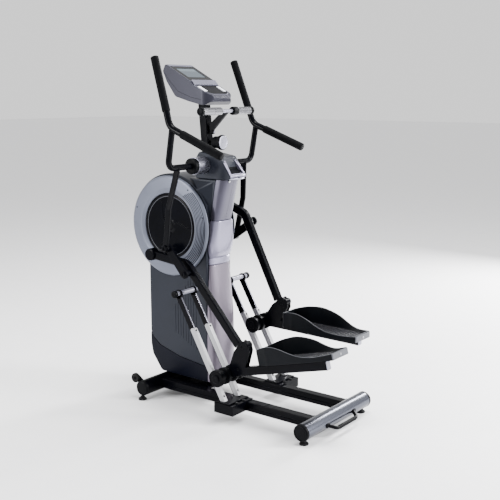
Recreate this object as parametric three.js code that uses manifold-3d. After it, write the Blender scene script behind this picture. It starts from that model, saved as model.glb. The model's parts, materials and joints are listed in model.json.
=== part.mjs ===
// Elliptical trainer with a crank tower, inclined roller rails and swinging handles.
// Millimetres, +Z up, +Y forward (towards the front cross tube), +X to the user's right.
import * as THREE from "three";
import { mergeVertices } from "three/addons/utils/BufferGeometryUtils.js";
import Module from "manifold-3d";

const wasm = await Module();
wasm.setup();

// ---------- driving dimensions ----------
const GAP = 0.5;
const LOOSE = 1;
const ROUND = 18;
const WALL = 4;

const BASE = { tubeR: 38, tubeWall: 2.5, tubeZ: 59, frontY: 337, rearY: -614, tubeHalf: 257, capHalf: 273 };
const RAIL = { x: 136, width: 46, bottom: 39, top: 85, grooveZ: 58, groove: 4, grooveDeep: 2.5, side: 5.5 };
const BRACKET = { x0: 112.5, x1: 267, yRear: -236, yFront: -126, bottom: 43, top: 90 };
const WHEEL = { r: 24, y: 386, z: 102, x0: 253, x1: 271, axleR: 5, earX0: 240, earX1: 250 };
const FOOT = { x: 243, r: 21, height: 9, stemR: 7, frontX: 266.5 };
const CARRY = { half: 112, reach: 84, r: 7 };

// Roller rails: a line in the side view, 60 degrees up from the floor, leaning forward.
const SLOPE = { angle: Math.PI / 3, y: -175, z: 109, length: 350, end: 12 };
const STRUT = { inner: 140, outer: 242, thick: 10, front: -34, rear: -4.5, eyeR: 19 };
const TRACK = { width: 20, depth: 26, slot: 12, web: 4, clear: 3 };
const TIE = { y: 102, z: 571, r: 12, half: 268, capR: 17, capHalf: 284 };

// Tower and drive.
const CRANK = { y: 289, z: 859, throw: 135, axleR: 12, discR: 159, discX: 93, discThick: 8.5 };
const TOWER = { half: 92, discR: 257, neckHalf: 60, split: 0.3 };
const RING = { inner: 163, outer: 248, back: 92.6, face: 111 };
const FLY = { y: 296, z: 566, r: 118, x0: -62, x1: -34, axleR: 10 };
const DRIVE = { pulleyR: 112, smallR: 32, x0: 32, x1: 48, beltGap: 1.7, beltThick: 3.5 };
const POST = { y: 100, half: 25, wall: 3, top: 1129, bottom: 70, plate: 8, bossR: 30, bossHalf: 20 };
const HUB = { y: 100, z: 1164.5, r: 41, bore: 15.5, half: 135, capR: 38 };
const MAST = { half: 22, wall: 3, y: 121, z: 1200, lean: 0.09, top: 1462 };

// Moving sides, given in the side view with the left pedal low.
const CARRIAGE = { y: -148.94, z: 210.14, axleR: 12, rollerR: 40, treadR: 27.5 };
const CARRIAGE_RIGHT = { y: -58.39, z: 366.98, pitch: 15.33 };
const ARM = { x0: 176, x1: 206, width: 38, bend: [94, 704], low: [-216, 362] };
const PIN = { y: 320.5, z: 727.7, r: 16, bossR: 30, bossX: 216, tip: 102.6 };
const BOLT = { y: 70.2, z: 667.3, r: 15, x1: 233 };
const LINK = { x0: 234, x1: 246, y: 170.9, z: 781.0, eyeR: 19, pinR: 10 };
const LINK_RIGHT = { y: 156.57, z: 778.68, boltY: 32.11, boltZ: 865.78 };
const HANDLE = { tubeR: 14.5, gripR: 19, elbowX: 309, rightSwing: -2.13 };
const PEDAL = { x: 146, half: 76, start: 196, end: 612, base: 30, floor: 39, wall: 7, slope: 14.5 };

// Upper body.
const CONSOLE = { half: 94, wall: 5, front: 23, rear: 330, nose: 62 };
const KEYPAD = { half: 86, start: 10, end: 104, nose: 48, keyX: 69, keyHalf: 11, keyStart: 41, keyEnd: 92 };
const SCREEN = { half: 86, start: 5, end: 153 };
const BAR = { y: 6, z: 1419, r: 8.5, sleeveR: 17.5, ringR: 20, capR: 20, half: 196 };
const KNOB = { y: 26, z: 1271, r: 36, length: 58 };

const PAINT = {
  black: [0x101114, 0.32, 0.3],
  foam: [0x17181a, 0.9, 0],
  rubber: [0x141414, 0.85, 0],
  plastic: [0x1c1e24, 0.55, 0],
  slate: [0x3f4353, 0.38, 0.25],
  silver: [0xb0b5c6, 0.32, 0.55],
  alloy: [0xc4c6ca, 0.3, 0.85],
  chrome: [0xd4d8de, 0.12, 1],
  steel: [0x9a9da3, 0.35, 0.9],
  glass: [0x6d7f8c, 0.12, 0.1],
};

// ---------- solids ----------
const toMatrix = (ex, ey, ez, at) => new THREE.Matrix4().makeBasis(ex, ey, ez).setPosition(at);
const vec = (x, y, z) => new THREE.Vector3(x, y, z);

function solid(geometry) {
  const bare = geometry.index ? geometry.toNonIndexed() : geometry.clone();
  for (const name of Object.keys(bare.attributes)) {
    if (name !== "position") bare.deleteAttribute(name);
  }
  const welded = mergeVertices(bare, 1e-4);
  const mesh = new wasm.Mesh({
    numProp: 3,
    vertProperties: new Float32Array(welded.attributes.position.array),
    triVerts: new Uint32Array(welded.index.array),
  });
  return new wasm.Manifold(mesh);
}

const join = (first, ...rest) => rest.reduce((all, next) => all.add(next), first);
const cut = (first, ...rest) => rest.reduce((all, next) => all.subtract(next), first);
const common = (a, b) => a.intersect(b);

function mirrored(body) {
  const mesh = body.getMesh();
  const points = mesh.vertProperties.map((value, i) => (i % 3 === 0 ? -value : value));
  const triangles = new Uint32Array(mesh.triVerts.length);
  for (let i = 0; i < triangles.length; i += 3) {
    triangles[i] = mesh.triVerts[i];
    triangles[i + 1] = mesh.triVerts[i + 2];
    triangles[i + 2] = mesh.triVerts[i + 1];
  }
  return new wasm.Manifold(new wasm.Mesh({ numProp: 3, vertProperties: points, triVerts: triangles }));
}

function moved(body, matrix) {
  const mesh = body.getMesh();
  const points = new Float32Array(mesh.vertProperties);
  const p = vec(0, 0, 0);
  for (let i = 0; i < points.length; i += 3) {
    p.fromArray(points, i).applyMatrix4(matrix).toArray(points, i);
  }
  return new wasm.Manifold(new wasm.Mesh({ numProp: 3, vertProperties: points, triVerts: mesh.triVerts }));
}

// Turn about an axis along X through (y, z), then shift in the side view.
function turned(body, y, z, degrees, toY = y, toZ = z) {
  const matrix = new THREE.Matrix4().makeTranslation(0, toY, toZ);
  matrix.multiply(new THREE.Matrix4().makeRotationX((degrees * Math.PI) / 180));
  matrix.multiply(new THREE.Matrix4().makeTranslation(0, -y, -z));
  return moved(body, matrix);
}

// A flat outline given as [a, b] pairs, extruded with an optional chamfer.
function extruded(points, depth, matrix, chamfer = 0, holes = []) {
  const shape = new THREE.Shape(points.map(([a, b]) => new THREE.Vector2(a, b)));
  for (const hole of holes) {
    shape.holes.push(new THREE.Path(hole.map(([a, b]) => new THREE.Vector2(a, b))));
  }
  const geometry = new THREE.ExtrudeGeometry(shape, {
    depth: depth - 2 * chamfer,
    bevelEnabled: chamfer > 0,
    bevelThickness: chamfer,
    bevelSize: chamfer,
    bevelOffset: -chamfer,
    bevelSegments: 1,
    steps: 1,
  });
  geometry.translate(0, 0, chamfer);
  geometry.applyMatrix4(matrix);
  return solid(geometry);
}

const SIDE = (x) => toMatrix(vec(0, 1, 0), vec(0, 0, 1), vec(1, 0, 0), vec(x, 0, 0));
const FRONT = (y) => toMatrix(vec(1, 0, 0), vec(0, 0, 1), vec(0, -1, 0), vec(0, y, 0));
const PLAN = (z) => new THREE.Matrix4().makeTranslation(0, 0, z);

// Outlines in (Y, Z) swept from x0 to x1, in (X, Z) from y0 to y1, in (X, Y) from z0 to z1.
const alongX = (points, x0, x1, chamfer, holes) => extruded(points, x1 - x0, SIDE(x0), chamfer, holes);
const alongY = (points, y0, y1, chamfer, holes) => extruded(points, y1 - y0, FRONT(y1), chamfer, holes);
const alongZ = (points, z0, z1, chamfer, holes) => extruded(points, z1 - z0, PLAN(z0), chamfer, holes);

const rectangle = (a0, a1, b0, b1) => [[a0, b0], [a1, b0], [a1, b1], [a0, b1]];
const block = (x0, x1, y0, y1, z0, z1, chamfer) => alongZ(rectangle(x0, x1, y0, y1), z0, z1, chamfer);

function circle(a, b, r, count = ROUND) {
  return Array.from({ length: count }, (_, i) => {
    const t = (2 * Math.PI * i) / count;
    return [a + r * Math.cos(t), b + r * Math.sin(t)];
  });
}

const rod = (y, z, r, x0, x1, chamfer, count) => alongX(circle(y, z, r, count), x0, x1, chamfer);
const sleeve = (y, z, r, bore, x0, x1, count) => alongX(circle(y, z, r, count), x0, x1, 0, [circle(y, z, bore, count)]);

// Round off the corners of an outline.
function filleted(points, radius, count = 3) {
  const result = [];
  points.forEach((corner, i) => {
    const here = new THREE.Vector2(...corner);
    const before = new THREE.Vector2(...points[(i + points.length - 1) % points.length]).sub(here);
    const after = new THREE.Vector2(...points[(i + 1) % points.length]).sub(here);
    const r = Array.isArray(radius) ? radius[i] : radius;
    const reach = Math.min(r, before.length() * 0.49, after.length() * 0.49);
    if (reach < 0.2) {
      result.push(corner);
      return;
    }
    const start = here.clone().add(before.setLength(reach));
    const end = here.clone().add(after.setLength(reach));
    const curve = new THREE.QuadraticBezierCurve(start, here, end);
    for (const p of curve.getPoints(count)) result.push([p.x, p.y]);
  });
  return result;
}

// The band round two circles, as an open belt or a link plate runs.
function stadium([a0, b0, r0], [a1, b1, r1], count = 6) {
  const length = Math.hypot(a1 - a0, b1 - b0);
  const heading = Math.atan2(b1 - b0, a1 - a0);
  const spread = Math.acos((r0 - r1) / length);
  const points = [];
  for (let i = 0; i <= count; i += 1) {
    const t = heading + spread + ((2 * Math.PI - 2 * spread) * i) / count;
    points.push([a0 + r0 * Math.cos(t), b0 + r0 * Math.sin(t)]);
  }
  for (let i = 0; i <= count; i += 1) {
    const t = heading - spread + (2 * spread * i) / count;
    points.push([a1 + r1 * Math.cos(t), b1 + r1 * Math.sin(t)]);
  }
  return points;
}

// A closed skin through matching rings of points, capped at both ends.
function loft(sections) {
  const count = sections[0].length;
  const positions = [];
  const push = (...points) => points.forEach((p) => positions.push(p.x, p.y, p.z));
  for (let k = 0; k + 1 < sections.length; k += 1) {
    for (let i = 0; i < count; i += 1) {
      const j = (i + 1) % count;
      push(sections[k][i], sections[k][j], sections[k + 1][j]);
      push(sections[k][i], sections[k + 1][j], sections[k + 1][i]);
    }
  }
  const middle = (ring) => ring.reduce((sum, p) => sum.add(p), vec(0, 0, 0)).divideScalar(count);
  const first = sections[0];
  const last = sections[sections.length - 1];
  const centres = [middle(first), middle(last)];
  for (let i = 0; i < count; i += 1) {
    const j = (i + 1) % count;
    push(centres[0], first[j], first[i]);
    push(centres[1], last[i], last[j]);
  }
  const geometry = new THREE.BufferGeometry();
  geometry.setAttribute("position", new THREE.Float32BufferAttribute(positions, 3));
  return solid(geometry);
}

// A lathe profile of [radius, height] pairs, turned about the line from one point towards another.
function turning(profile, from, towards, count = ROUND) {
  const outline = profile.map(([r, h]) => new THREE.Vector2(r, h));
  const geometry = new THREE.LatheGeometry(outline, count);
  const axis = towards.clone().sub(from).normalize();
  const turn = new THREE.Quaternion().setFromUnitVectors(vec(0, 1, 0), axis);
  geometry.applyQuaternion(turn);
  geometry.translate(from.x, from.y, from.z);
  return solid(geometry);
}

// A path of straight runs joined by rounded bends.
class BentPath extends THREE.Curve {
  constructor(corners, radius, arcs = 4) {
    super();
    this.points = [corners[0]];
    for (let i = 1; i + 1 < corners.length; i += 1) {
      const here = corners[i];
      const start = here.clone().add(corners[i - 1].clone().sub(here).setLength(radius));
      const end = here.clone().add(corners[i + 1].clone().sub(here).setLength(radius));
      this.points.push(...new THREE.QuadraticBezierCurve3(start, here, end).getPoints(arcs));
    }
    this.points.push(corners[corners.length - 1]);
  }

  getPoint(t, target = vec(0, 0, 0)) {
    const scaled = t * (this.points.length - 1);
    const i = Math.min(Math.floor(scaled), this.points.length - 2);
    return target.lerpVectors(this.points[i], this.points[i + 1], scaled - i);
  }

  getPointAt(t, target) {
    return this.getPoint(t, target);
  }
}

function bentTube(corners, r, radius, count = 10) {
  const path = new BentPath(corners, radius);
  const outline = new THREE.Shape(circle(0, 0, r, count).map(([a, b]) => new THREE.Vector2(a, b)));
  const geometry = new THREE.ExtrudeGeometry(outline, {
    extrudePath: path,
    steps: path.points.length - 1,
    bevelEnabled: false,
  });
  return solid(geometry);
}

// ---------- the parts, added in their final names ----------
const group = new THREE.Group();

function add(name, body, [colour, roughness, metalness]) {
  const mesh = body.getMesh();
  const geometry = new THREE.BufferGeometry();
  geometry.setAttribute("position", new THREE.BufferAttribute(new Float32Array(mesh.vertProperties), 3));
  geometry.setIndex(new THREE.BufferAttribute(new Uint32Array(mesh.triVerts), 1));
  const flat = geometry.toNonIndexed();
  flat.computeVertexNormals();
  const node = new THREE.Mesh(flat, new THREE.MeshStandardMaterial({ color: colour, roughness, metalness }));
  node.name = name;
  group.add(node);
}

function addPair(name, rightBody, paint) {
  add(`${name}_left`, mirrored(rightBody), paint);
  add(`${name}_right`, rightBody, paint);
}

// Base: two cross tubes, two long rails and what stands on the floor.
function crossTube(y) {
  return sleeve(y, BASE.tubeZ, BASE.tubeR, BASE.tubeR - BASE.tubeWall, -BASE.tubeHalf, BASE.tubeHalf);
}

function frontCrossTube() {
  const ear = stadium([BASE.frontY + 28, BASE.tubeZ + 22, 16], [WHEEL.y, WHEEL.z, 11], 3);
  const side = (sign) => {
    const plate = alongX(ear, WHEEL.earX0, WHEEL.earX1, 0);
    const stub = rod(WHEEL.y, WHEEL.z, WHEEL.axleR, WHEEL.earX1 - 2, WHEEL.x1 + 2, 0, 10);
    const both = cut(join(plate, stub), rod(BASE.frontY, BASE.tubeZ, BASE.tubeR - 1, 230, 260));
    return sign < 0 ? mirrored(both) : both;
  };
  return join(crossTube(BASE.frontY), side(1), side(-1));
}

function frontCap() {
  const x = BASE.tubeHalf + GAP;
  const cap = rod(BASE.frontY, BASE.tubeZ, BASE.tubeR + 0.3, x, BASE.capHalf, 3);
  const plug = rod(BASE.frontY, BASE.tubeZ, BASE.tubeR - BASE.tubeWall - 3 * GAP, x - 14, x + 1, 0, 12);
  const stem = alongZ(circle(FOOT.frontX, BASE.frontY, 8, 10), FOOT.height - 1, 30);
  const pad = alongZ(circle(FOOT.frontX, BASE.frontY, FOOT.r, 14), 0, FOOT.height);
  return join(cap, plug, stem, pad);
}

add("front_cross_tube", frontCrossTube(), PAINT.black);
addPair("front_end_cap", frontCap(), PAINT.plastic);

const wheelProfile = [[5.5, 0], [21, 0], [24, 3], [24, 15], [21, 18], [19, 15], [5.5, 15], [5.5, 0]];
const wheelAt = (x) => vec(x, WHEEL.y, WHEEL.z);
addPair("transport_wheel", turning(wheelProfile, wheelAt(WHEEL.x0), wheelAt(WHEEL.x1), 16), PAINT.rubber);

const footHole = (sign) => alongZ(circle(sign * FOOT.x, BASE.rearY, FOOT.stemR + GAP, 10), 10, 40);
add("rear_cross_tube", cut(crossTube(BASE.rearY), footHole(1), footHole(-1)), PAINT.chrome);

function rearCap() {
  const x = BASE.tubeHalf + GAP;
  const cap = rod(BASE.rearY, BASE.tubeZ, BASE.tubeR + 0.5, x, BASE.capHalf, 4);
  return join(cap, rod(BASE.rearY, BASE.tubeZ, BASE.tubeR - BASE.tubeWall - 3 * GAP, x - 5, x + 1, 0, 12));
}

addPair("rear_end_cap", rearCap(), PAINT.plastic);

const rearFoot = join(
  alongZ(circle(FOOT.x, BASE.rearY, FOOT.r, 14), 0, FOOT.height),
  alongZ(circle(FOOT.x, BASE.rearY, FOOT.stemR, 10), FOOT.height - 1, 42),
);
addPair("rear_foot", rearFoot, PAINT.rubber);

function carryHandle() {
  const z = BASE.tubeZ - 4;
  const y = BASE.rearY - BASE.tubeR;
  const corners = [
    vec(-CARRY.half, y + 4, z),
    vec(-CARRY.half + 16, y - CARRY.reach + 56, z - 12),
    vec(CARRY.half - 16, y - CARRY.reach + 56, z - 12),
    vec(CARRY.half, y + 4, z),
  ];
  const loop = bentTube(corners, CARRY.r, 16, 8);
  const pads = [-1, 1].map((sign) => block(
    Math.min(sign * CARRY.half - 12, sign * CARRY.half + 12), sign * CARRY.half + 12, y - 6, y + 16, z - 11, z + 11));
  const clear = rod(BASE.rearY, BASE.tubeZ, BASE.tubeR + GAP, -130, 130);
  return cut(join(loop, ...pads), clear);
}

add("carry_handle", carryHandle(), PAINT.plastic);

function baseRail() {
  const x0 = RAIL.x - RAIL.width / 2;
  const x1 = RAIL.x + RAIL.width / 2;
  const z0 = RAIL.grooveZ;
  const z1 = RAIL.grooveZ + RAIL.groove;
  const d = RAIL.grooveDeep;
  const outline = [
    [x0, RAIL.bottom + 3], [x0 + 3, RAIL.bottom], [x1 - 3, RAIL.bottom], [x1, RAIL.bottom + 3],
    [x1, z0], [x1 - d, z0], [x1 - d, z1], [x1, z1], [x1, RAIL.top - 3], [x1 - 3, RAIL.top],
    [x0 + 3, RAIL.top], [x0, RAIL.top - 3], [x0, z1], [x0 + d, z1], [x0 + d, z0], [x0, z0],
  ];
  const rail = alongY(outline, BASE.rearY, BASE.frontY);
  const beam = cut(
    rail,
    rod(BASE.rearY, BASE.tubeZ, BASE.tubeR + GAP, 100, 170),
    rod(BASE.frontY, BASE.tubeZ, BASE.tubeR + GAP, 100, 170),
    block(x0 + RAIL.side, x1 - RAIL.side, BASE.rearY - 1, BASE.frontY + 1, RAIL.bottom + WALL, RAIL.top - WALL),
  );
  const b = BRACKET;
  const box = block(x1 - 1, b.x1, b.yRear, b.yFront, b.bottom, b.top, 1.5);
  const inside = block(x1 + WALL, b.x1 - WALL, b.yRear + WALL, b.yFront - WALL, b.bottom - 1, b.top - WALL);
  const cover = block(b.x0, b.x1, b.yRear, b.yFront, RAIL.top - 1, b.top, 1.5);
  return join(beam, cut(box, inside), cover);
}

addPair("base_rail", baseRail(), PAINT.black);

// Inclined roller rails. Local axes: X across, t up the slope, w square to it and rearwards.
const slopeUp = vec(0, Math.cos(SLOPE.angle), Math.sin(SLOPE.angle));
const slopeOut = vec(0, -Math.sin(SLOPE.angle), Math.cos(SLOPE.angle));
const slopeOrigin = vec(0, SLOPE.y, SLOPE.z);
const slopeAt = (x, t, w) => slopeOrigin.clone().addScaledVector(slopeUp, t).addScaledVector(slopeOut, w).setX(x);

// Outline in (t, w) swept in X, and outline in (X, w) swept in t.
function slopeSide(points, x0, x1, chamfer) {
  const matrix = toMatrix(slopeUp, slopeOut, vec(1, 0, 0), slopeOrigin.clone().setX(x0));
  return extruded(points, x1 - x0, matrix, chamfer);
}

function slopeEnd(points, t0, t1) {
  const matrix = toMatrix(vec(1, 0, 0), slopeOut, slopeUp.clone().negate(), slopeAt(0, t1, 0));
  return extruded(points, t1 - t0, matrix);
}

function strutFrame() {
  const fromOrigin = vec(0, TIE.y, TIE.z).sub(slopeOrigin);
  const eye = [fromOrigin.dot(slopeUp), fromOrigin.dot(slopeOut)];
  const leg = (x) => {
    const x0 = x - STRUT.thick / 2;
    const x1 = x + STRUT.thick / 2;
    const bar = slopeSide(rectangle(-40, eye[0] - 14, STRUT.front, STRUT.rear), x0, x1);
    const top = slopeSide(circle(eye[0] - 3, eye[1] - 9, STRUT.eyeR + 7, 16), x0, x1);
    return join(bar, top);
  };
  const shoe = block(STRUT.inner - 22, STRUT.outer + 20, -214, -132, BRACKET.top + GAP, BRACKET.top + 6);
  const below = block(100, 280, -300, 0, 0, BRACKET.top + GAP);
  const hole = rod(TIE.y, TIE.z, TIE.r + GAP, 100, 300);
  return cut(join(leg(STRUT.inner), leg(STRUT.outer), shoe), below, hole);
}

addPair("strut_frame", strutFrame(), PAINT.black);

function slideRail(x) {
  const half = TRACK.width / 2;
  const slot = TRACK.slot / 2;
  const outline = [
    [x - half, -TRACK.depth], [x - slot, -TRACK.depth], [x - slot, -TRACK.web], [x + slot, -TRACK.web],
    [x + slot, -TRACK.depth], [x + half, -TRACK.depth], [x + half, -2], [x + half - 2, 0],
    [x - half + 2, 0], [x - half, -2],
  ];
  const channel = slopeEnd(outline, -SLOPE.end, SLOPE.length + SLOPE.end);
  const ends = [[-SLOPE.end, -TRACK.depth], [SLOPE.length + SLOPE.end, -TRACK.depth],
    [SLOPE.length + SLOPE.end, 0], [-SLOPE.end, 0]];
  const envelope = slopeSide(filleted(ends, [0, 16, 16, 0], 4), x - half - 1, x + half + 1);
  const clear = block(100, 280, -300, 0, 0, BRACKET.top + 6.5);
  return cut(common(channel, envelope), clear);
}

addPair("slide_rail_inner", slideRail(STRUT.inner), PAINT.alloy);
addPair("slide_rail_outer", slideRail(STRUT.outer), PAINT.alloy);

const tieCap = (x0, x1) => rod(TIE.y, TIE.z, TIE.capR, x0, x1, 3, 16);
add("frame_axle", join(
  rod(TIE.y, TIE.z, TIE.r, -TIE.half - 2, TIE.half + 2, 0, 14),
  tieCap(TIE.half, TIE.capHalf),
  tieCap(-TIE.capHalf, -TIE.half),
), PAINT.black);

// Inner steel post with the plate that carries the crank and flywheel bearings.
function framePost() {
  const y0 = POST.y - POST.half;
  const y1 = POST.y + POST.half;
  const inner = POST.half - POST.wall;
  const tube = alongZ(
    rectangle(-POST.half, POST.half, y0, y1), POST.bottom, POST.top, 0,
    [rectangle(-inner, inner, y0 + POST.wall, y1 - POST.wall)],
  );
  const web = [[y1 - 1, 960], [CRANK.y, 905], [CRANK.y + 34, 859], [FLY.y + 32, FLY.z], [FLY.y, FLY.z - 34],
    [y1 - 1, 470]];
  const plate = alongX(web, -POST.plate / 2, POST.plate / 2);
  const boss = ({ y, z }) => rod(y, z, POST.bossR, -POST.bossHalf, POST.bossHalf, 0, 14);
  const bore = ({ y, z, axleR }) => rod(y, z, axleR + GAP, -POST.bossHalf - 5, POST.bossHalf + 5, 0, 14);
  const shoe = block(-112, 112, 62, 290, POST.bottom - 8, POST.bottom + 1);
  const hubClear = rod(HUB.y, HUB.z, HUB.r + GAP, -40, 40);
  const tieHole = rod(TIE.y, TIE.z, TIE.r + GAP, -40, 40, 0, 14);
  return cut(join(tube, plate, boss(CRANK), boss(FLY), shoe), bore(CRANK), bore(FLY), tieHole, hubClear);
}

add("frame_post", framePost(), PAINT.black);

// Crank, pulley, belt and flywheel.
function crankAxle() {
  const axle = rod(CRANK.y, CRANK.z, CRANK.axleR, -CRANK.discX - 6, CRANK.discX + 6, 0, 14);
  return join(axle, rod(CRANK.y, CRANK.z, DRIVE.pulleyR, DRIVE.x0, DRIVE.x1, 1.5, 28));
}

function flywheel() {
  const rim = sleeve(FLY.y, FLY.z, FLY.r, FLY.r - 26, FLY.x0, FLY.x1, 20);
  const web = rod(FLY.y, FLY.z, FLY.r - 20, FLY.x0 + 9, FLY.x1 - 9, 0, 16);
  const axle = rod(FLY.y, FLY.z, FLY.axleR, FLY.x0 - 4, DRIVE.x1 + 8, 0, 14);
  return join(rim, web, axle, rod(FLY.y, FLY.z, DRIVE.smallR, DRIVE.x0, DRIVE.x1, 1.5, 16));
}

function driveBelt() {
  const band = (extra) => stadium(
    [CRANK.y, CRANK.z, DRIVE.pulleyR + extra], [FLY.y, FLY.z, DRIVE.smallR + extra], 14);
  const outer = band(DRIVE.beltGap + DRIVE.beltThick);
  return alongX(outer, DRIVE.x0 + 2, DRIVE.x1 - 2, 0, [band(DRIVE.beltGap)]);
}

add("crank_axle", crankAxle(), PAINT.steel);
add("flywheel", flywheel(), PAINT.steel);
add("drive_belt", driveBelt(), PAINT.rubber);

function crankDisc() {
  const r = CRANK.discR;
  const bore = CRANK.axleR + GAP;
  const profile = [[bore, 0], [r, 0], [r, 5], [r - 4, 8.5], [r - 10, 7], [30, 7], [26, 4], [bore, 4], [bore, 0]];
  return turning(profile, vec(CRANK.discX, CRANK.y, CRANK.z), vec(CRANK.discX + 9, CRANK.y, CRANK.z), 26);
}

addPair("crank_disc", crankDisc(), PAINT.black);

// Tower skin: a round crank housing on a leg, with a faceted neck up to the handle hub.
const LEG = [[439, 300], [439, 700], [289, 859], [61, 859], [61, 176], [238, 198], [374, 236], [418, 268]];
const NECK = [[232, 1097], [26, 1097], [60, 904], [63, 785], [320, 785]];
const SKIRT = [[367, 101], [428, 182], [439, 236], [439, 299], [418, 266.5], [374, 234.5], [238, 196.5], [61, 174.5],
  [61, 101]];

function inset(points, distance) {
  const count = points.length;
  const d = Math.sign(THREE.ShapeUtils.area(points.map((p) => new THREE.Vector2(...p)))) * distance;
  const result = [];
  for (let i = 0; i < count; i += 1) {
    const [a, b, c] = [points[(i + count - 1) % count], points[i], points[(i + 1) % count]]
      .map((p) => new THREE.Vector2(...p));
    const u = b.clone().sub(a).normalize();
    const v = c.clone().sub(b).normalize();
    const turn = u.x * v.y - u.y * v.x;
    const nu = new THREE.Vector2(-u.y, u.x).multiplyScalar(d);
    const nv = new THREE.Vector2(-v.y, v.x).multiplyScalar(d);
    const start = b.clone().add(nu);
    const shift = nv.clone().sub(nu);
    const along = Math.abs(turn) < 1e-6 ? 0 : (shift.x * v.y - shift.y * v.x) / turn;
    result.push(start.addScaledVector(u, along).toArray());
  }
  return result;
}

function towerShell() {
  const x0 = TOWER.split;
  const neckTop = [[206, 1088], [117, 1044], [84, 880], [200, 800], [300, 900]];
  const section = (points, x) => points.map(([y, z]) => vec(x, y, z));
  const facetBase = [[232, 1097], [30, 1097], [64, 880], [200, 790], [330, 900]];
  const body = (d) => {
    const x1 = TOWER.half - d;
    const leg = alongX(inset(LEG, d), x0 - d, x1, d > 0 ? 0 : 8);
    const disc = alongX(circle(CRANK.y, CRANK.z, TOWER.discR - d, d > 0 ? 24 : 36), x0 - d, x1, d > 0 ? 0 : 8);
    const house = cut(disc, block(-60, 200, -20, 61 + d, 500, 1200));
    const neck = alongX(inset(NECK, d), x0 - d, TOWER.neckHalf - d);
    if (d > 0) return join(leg, house, neck);
    return join(leg, house, neck, loft([section(facetBase, TOWER.neckHalf - 1), section(neckTop, TOWER.half - 1)]));
  };
  const axleHole = rod(CRANK.y, CRANK.z, CRANK.axleR + 3, 50, 120, 0, 12);
  const tieHole = rod(TIE.y, TIE.z, TIE.r + GAP, 50, 120, 0, 14);
  const plane = block(-40, x0, -200, 700, 0, 1300);
  const side = POST.half + LOOSE;
  const postHole = block(-side, side, POST.y - side, POST.y + side, 0, 1300);
  return cut(body(0), body(WALL), axleHole, tieHole, postHole, plane);
}

addPair("tower_shell", towerShell(), PAINT.slate);

function lowerSkirt() {
  const half = TOWER.half;
  return cut(
    alongX(SKIRT, -half, half, 6),
    alongX(inset(SKIRT, WALL), -half + WALL, half - WALL),
    block(-half + WALL + 3, half - WALL - 3, 61 + WALL, 360, 90, 120),
    alongX([[61 + WALL, 150], [380, 160], [430, 330], [61 + WALL, 330]], -half + WALL + 3, half - WALL - 3),
  );
}

add("lower_skirt", lowerSkirt(), PAINT.plastic);

function ringCover() {
  const { inner, outer, back, face } = RING;
  const deep = face - back;
  const profile = [[inner, 0], [outer, 0], [outer, deep - 11], [outer - 10, deep - 2], [inner + 20, deep],
    [inner, deep - 7], [inner, 0]];
  return turning(profile, vec(back, CRANK.y, CRANK.z), vec(face, CRANK.y, CRANK.z), 32);
}

addPair("ring_cover", ringCover(), PAINT.silver);

// Rear column cover: a hollow moulding whose back swells below the neck.
function rearColumn() {
  const levels = [
    // height, half width, front edge, back, boxiness
    [102, 91, 60, 14, 0.75], [400, 90, 60, 13, 0.75], [506, 86, 60, 22, 0.75], [600, 80, 60, 32, 0.72],
    [700, 75, 60, 40, 0.7], [745, 79, 60, 28, 0.6], [785, 83, 60, 20, 0.55], [827, 79, 59, 16, 0.5],
    [904, 64, 57, 15, 0.5],
    [1048, 60, 33, -22, 0.55], [1097, 58, 24, -38, 0.6],
  ];
  const ring = (level, d) => {
    const [z, half, front, back, power] = level;
    const points = [];
    const count = 8;
    for (let i = 0; i <= count; i += 1) {
      const t = Math.PI + (Math.PI * i) / count;
      const c = Math.cos(t);
      const x = Math.sign(c) * Math.abs(c) ** power * (half - d);
      const y = front - Math.abs(Math.sin(t)) ** power * (front - back - d);
      points.push(vec(x, y, z));
    }
    if (d > 0) {
      points[0].y = front + 20;
      points[count].y = front + 20;
    }
    return points;
  };
  const outside = loft(levels.map((level) => ring(level, 0)));
  const inside = levels.map((level) => ring(level, WALL));
  inside[0].forEach((p) => p.setZ(p.z - 10));
  inside[inside.length - 1].forEach((p) => p.setZ(p.z + 10));
  return cut(outside, loft(inside));
}

add("rear_column", rearColumn(), PAINT.silver);

// Handle hub, head cover with its slanted tray, and the mast.
add("handle_hub", sleeve(HUB.y, HUB.z, HUB.r, HUB.bore, -HUB.half, HUB.half), PAINT.alloy);

function headCover() {
  const outline = filleted(
    [[150, 1099], [156, 1190], [128, 1228], [0, 1206], [-64, 1116], [-52, 1099]], [6, 18, 16, 10, 6, 4], 3);
  const shell = alongX(outline, -TOWER.neckHalf, TOWER.neckHalf, 2);
  const hollow = alongX([[60, 1090], [146, 1090], [150, 1190], [126, 1221], [60, 1211]], -55, 55);
  const tray = alongX([[6, 1240], [-24, 1146], [-56, 1126], [-90, 1090], [-90, 1240]], -46, 46);
  const hub = rod(HUB.y, HUB.z, HUB.r + GAP, -80, 80);
  const mastHole = block(-MAST.half - 1, MAST.half + 1, 96, 152, 1195, 1240);
  return cut(shell, hollow, tray, hub, mastHole);
}

add("head_cover", headCover(), PAINT.silver);

function mastTube() {
  const foot = [MAST.y, MAST.z];
  const shift = MAST.lean * (MAST.top - MAST.z);
  const section = (half, y, z) => [vec(-half, y - half, z), vec(half, y - half, z), vec(half, y + half, z),
    vec(-half, y + half, z)];
  const sweep = (half, extra) => loft([
    section(half, foot[0] - MAST.lean * extra, MAST.z - extra),
    section(half, foot[0] + shift + MAST.lean * extra, MAST.top + extra),
  ]);
  const tube = cut(sweep(MAST.half, 0), sweep(MAST.half - MAST.wall, 4));
  const knobHole = alongY(circle(0, KNOB.z, 7, 12), 70, MAST.y);
  return cut(tube, rod(HUB.y, HUB.z, HUB.r + GAP, -40, 40), knobHole);
}

add("mast", mastTube(), PAINT.black);

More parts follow.
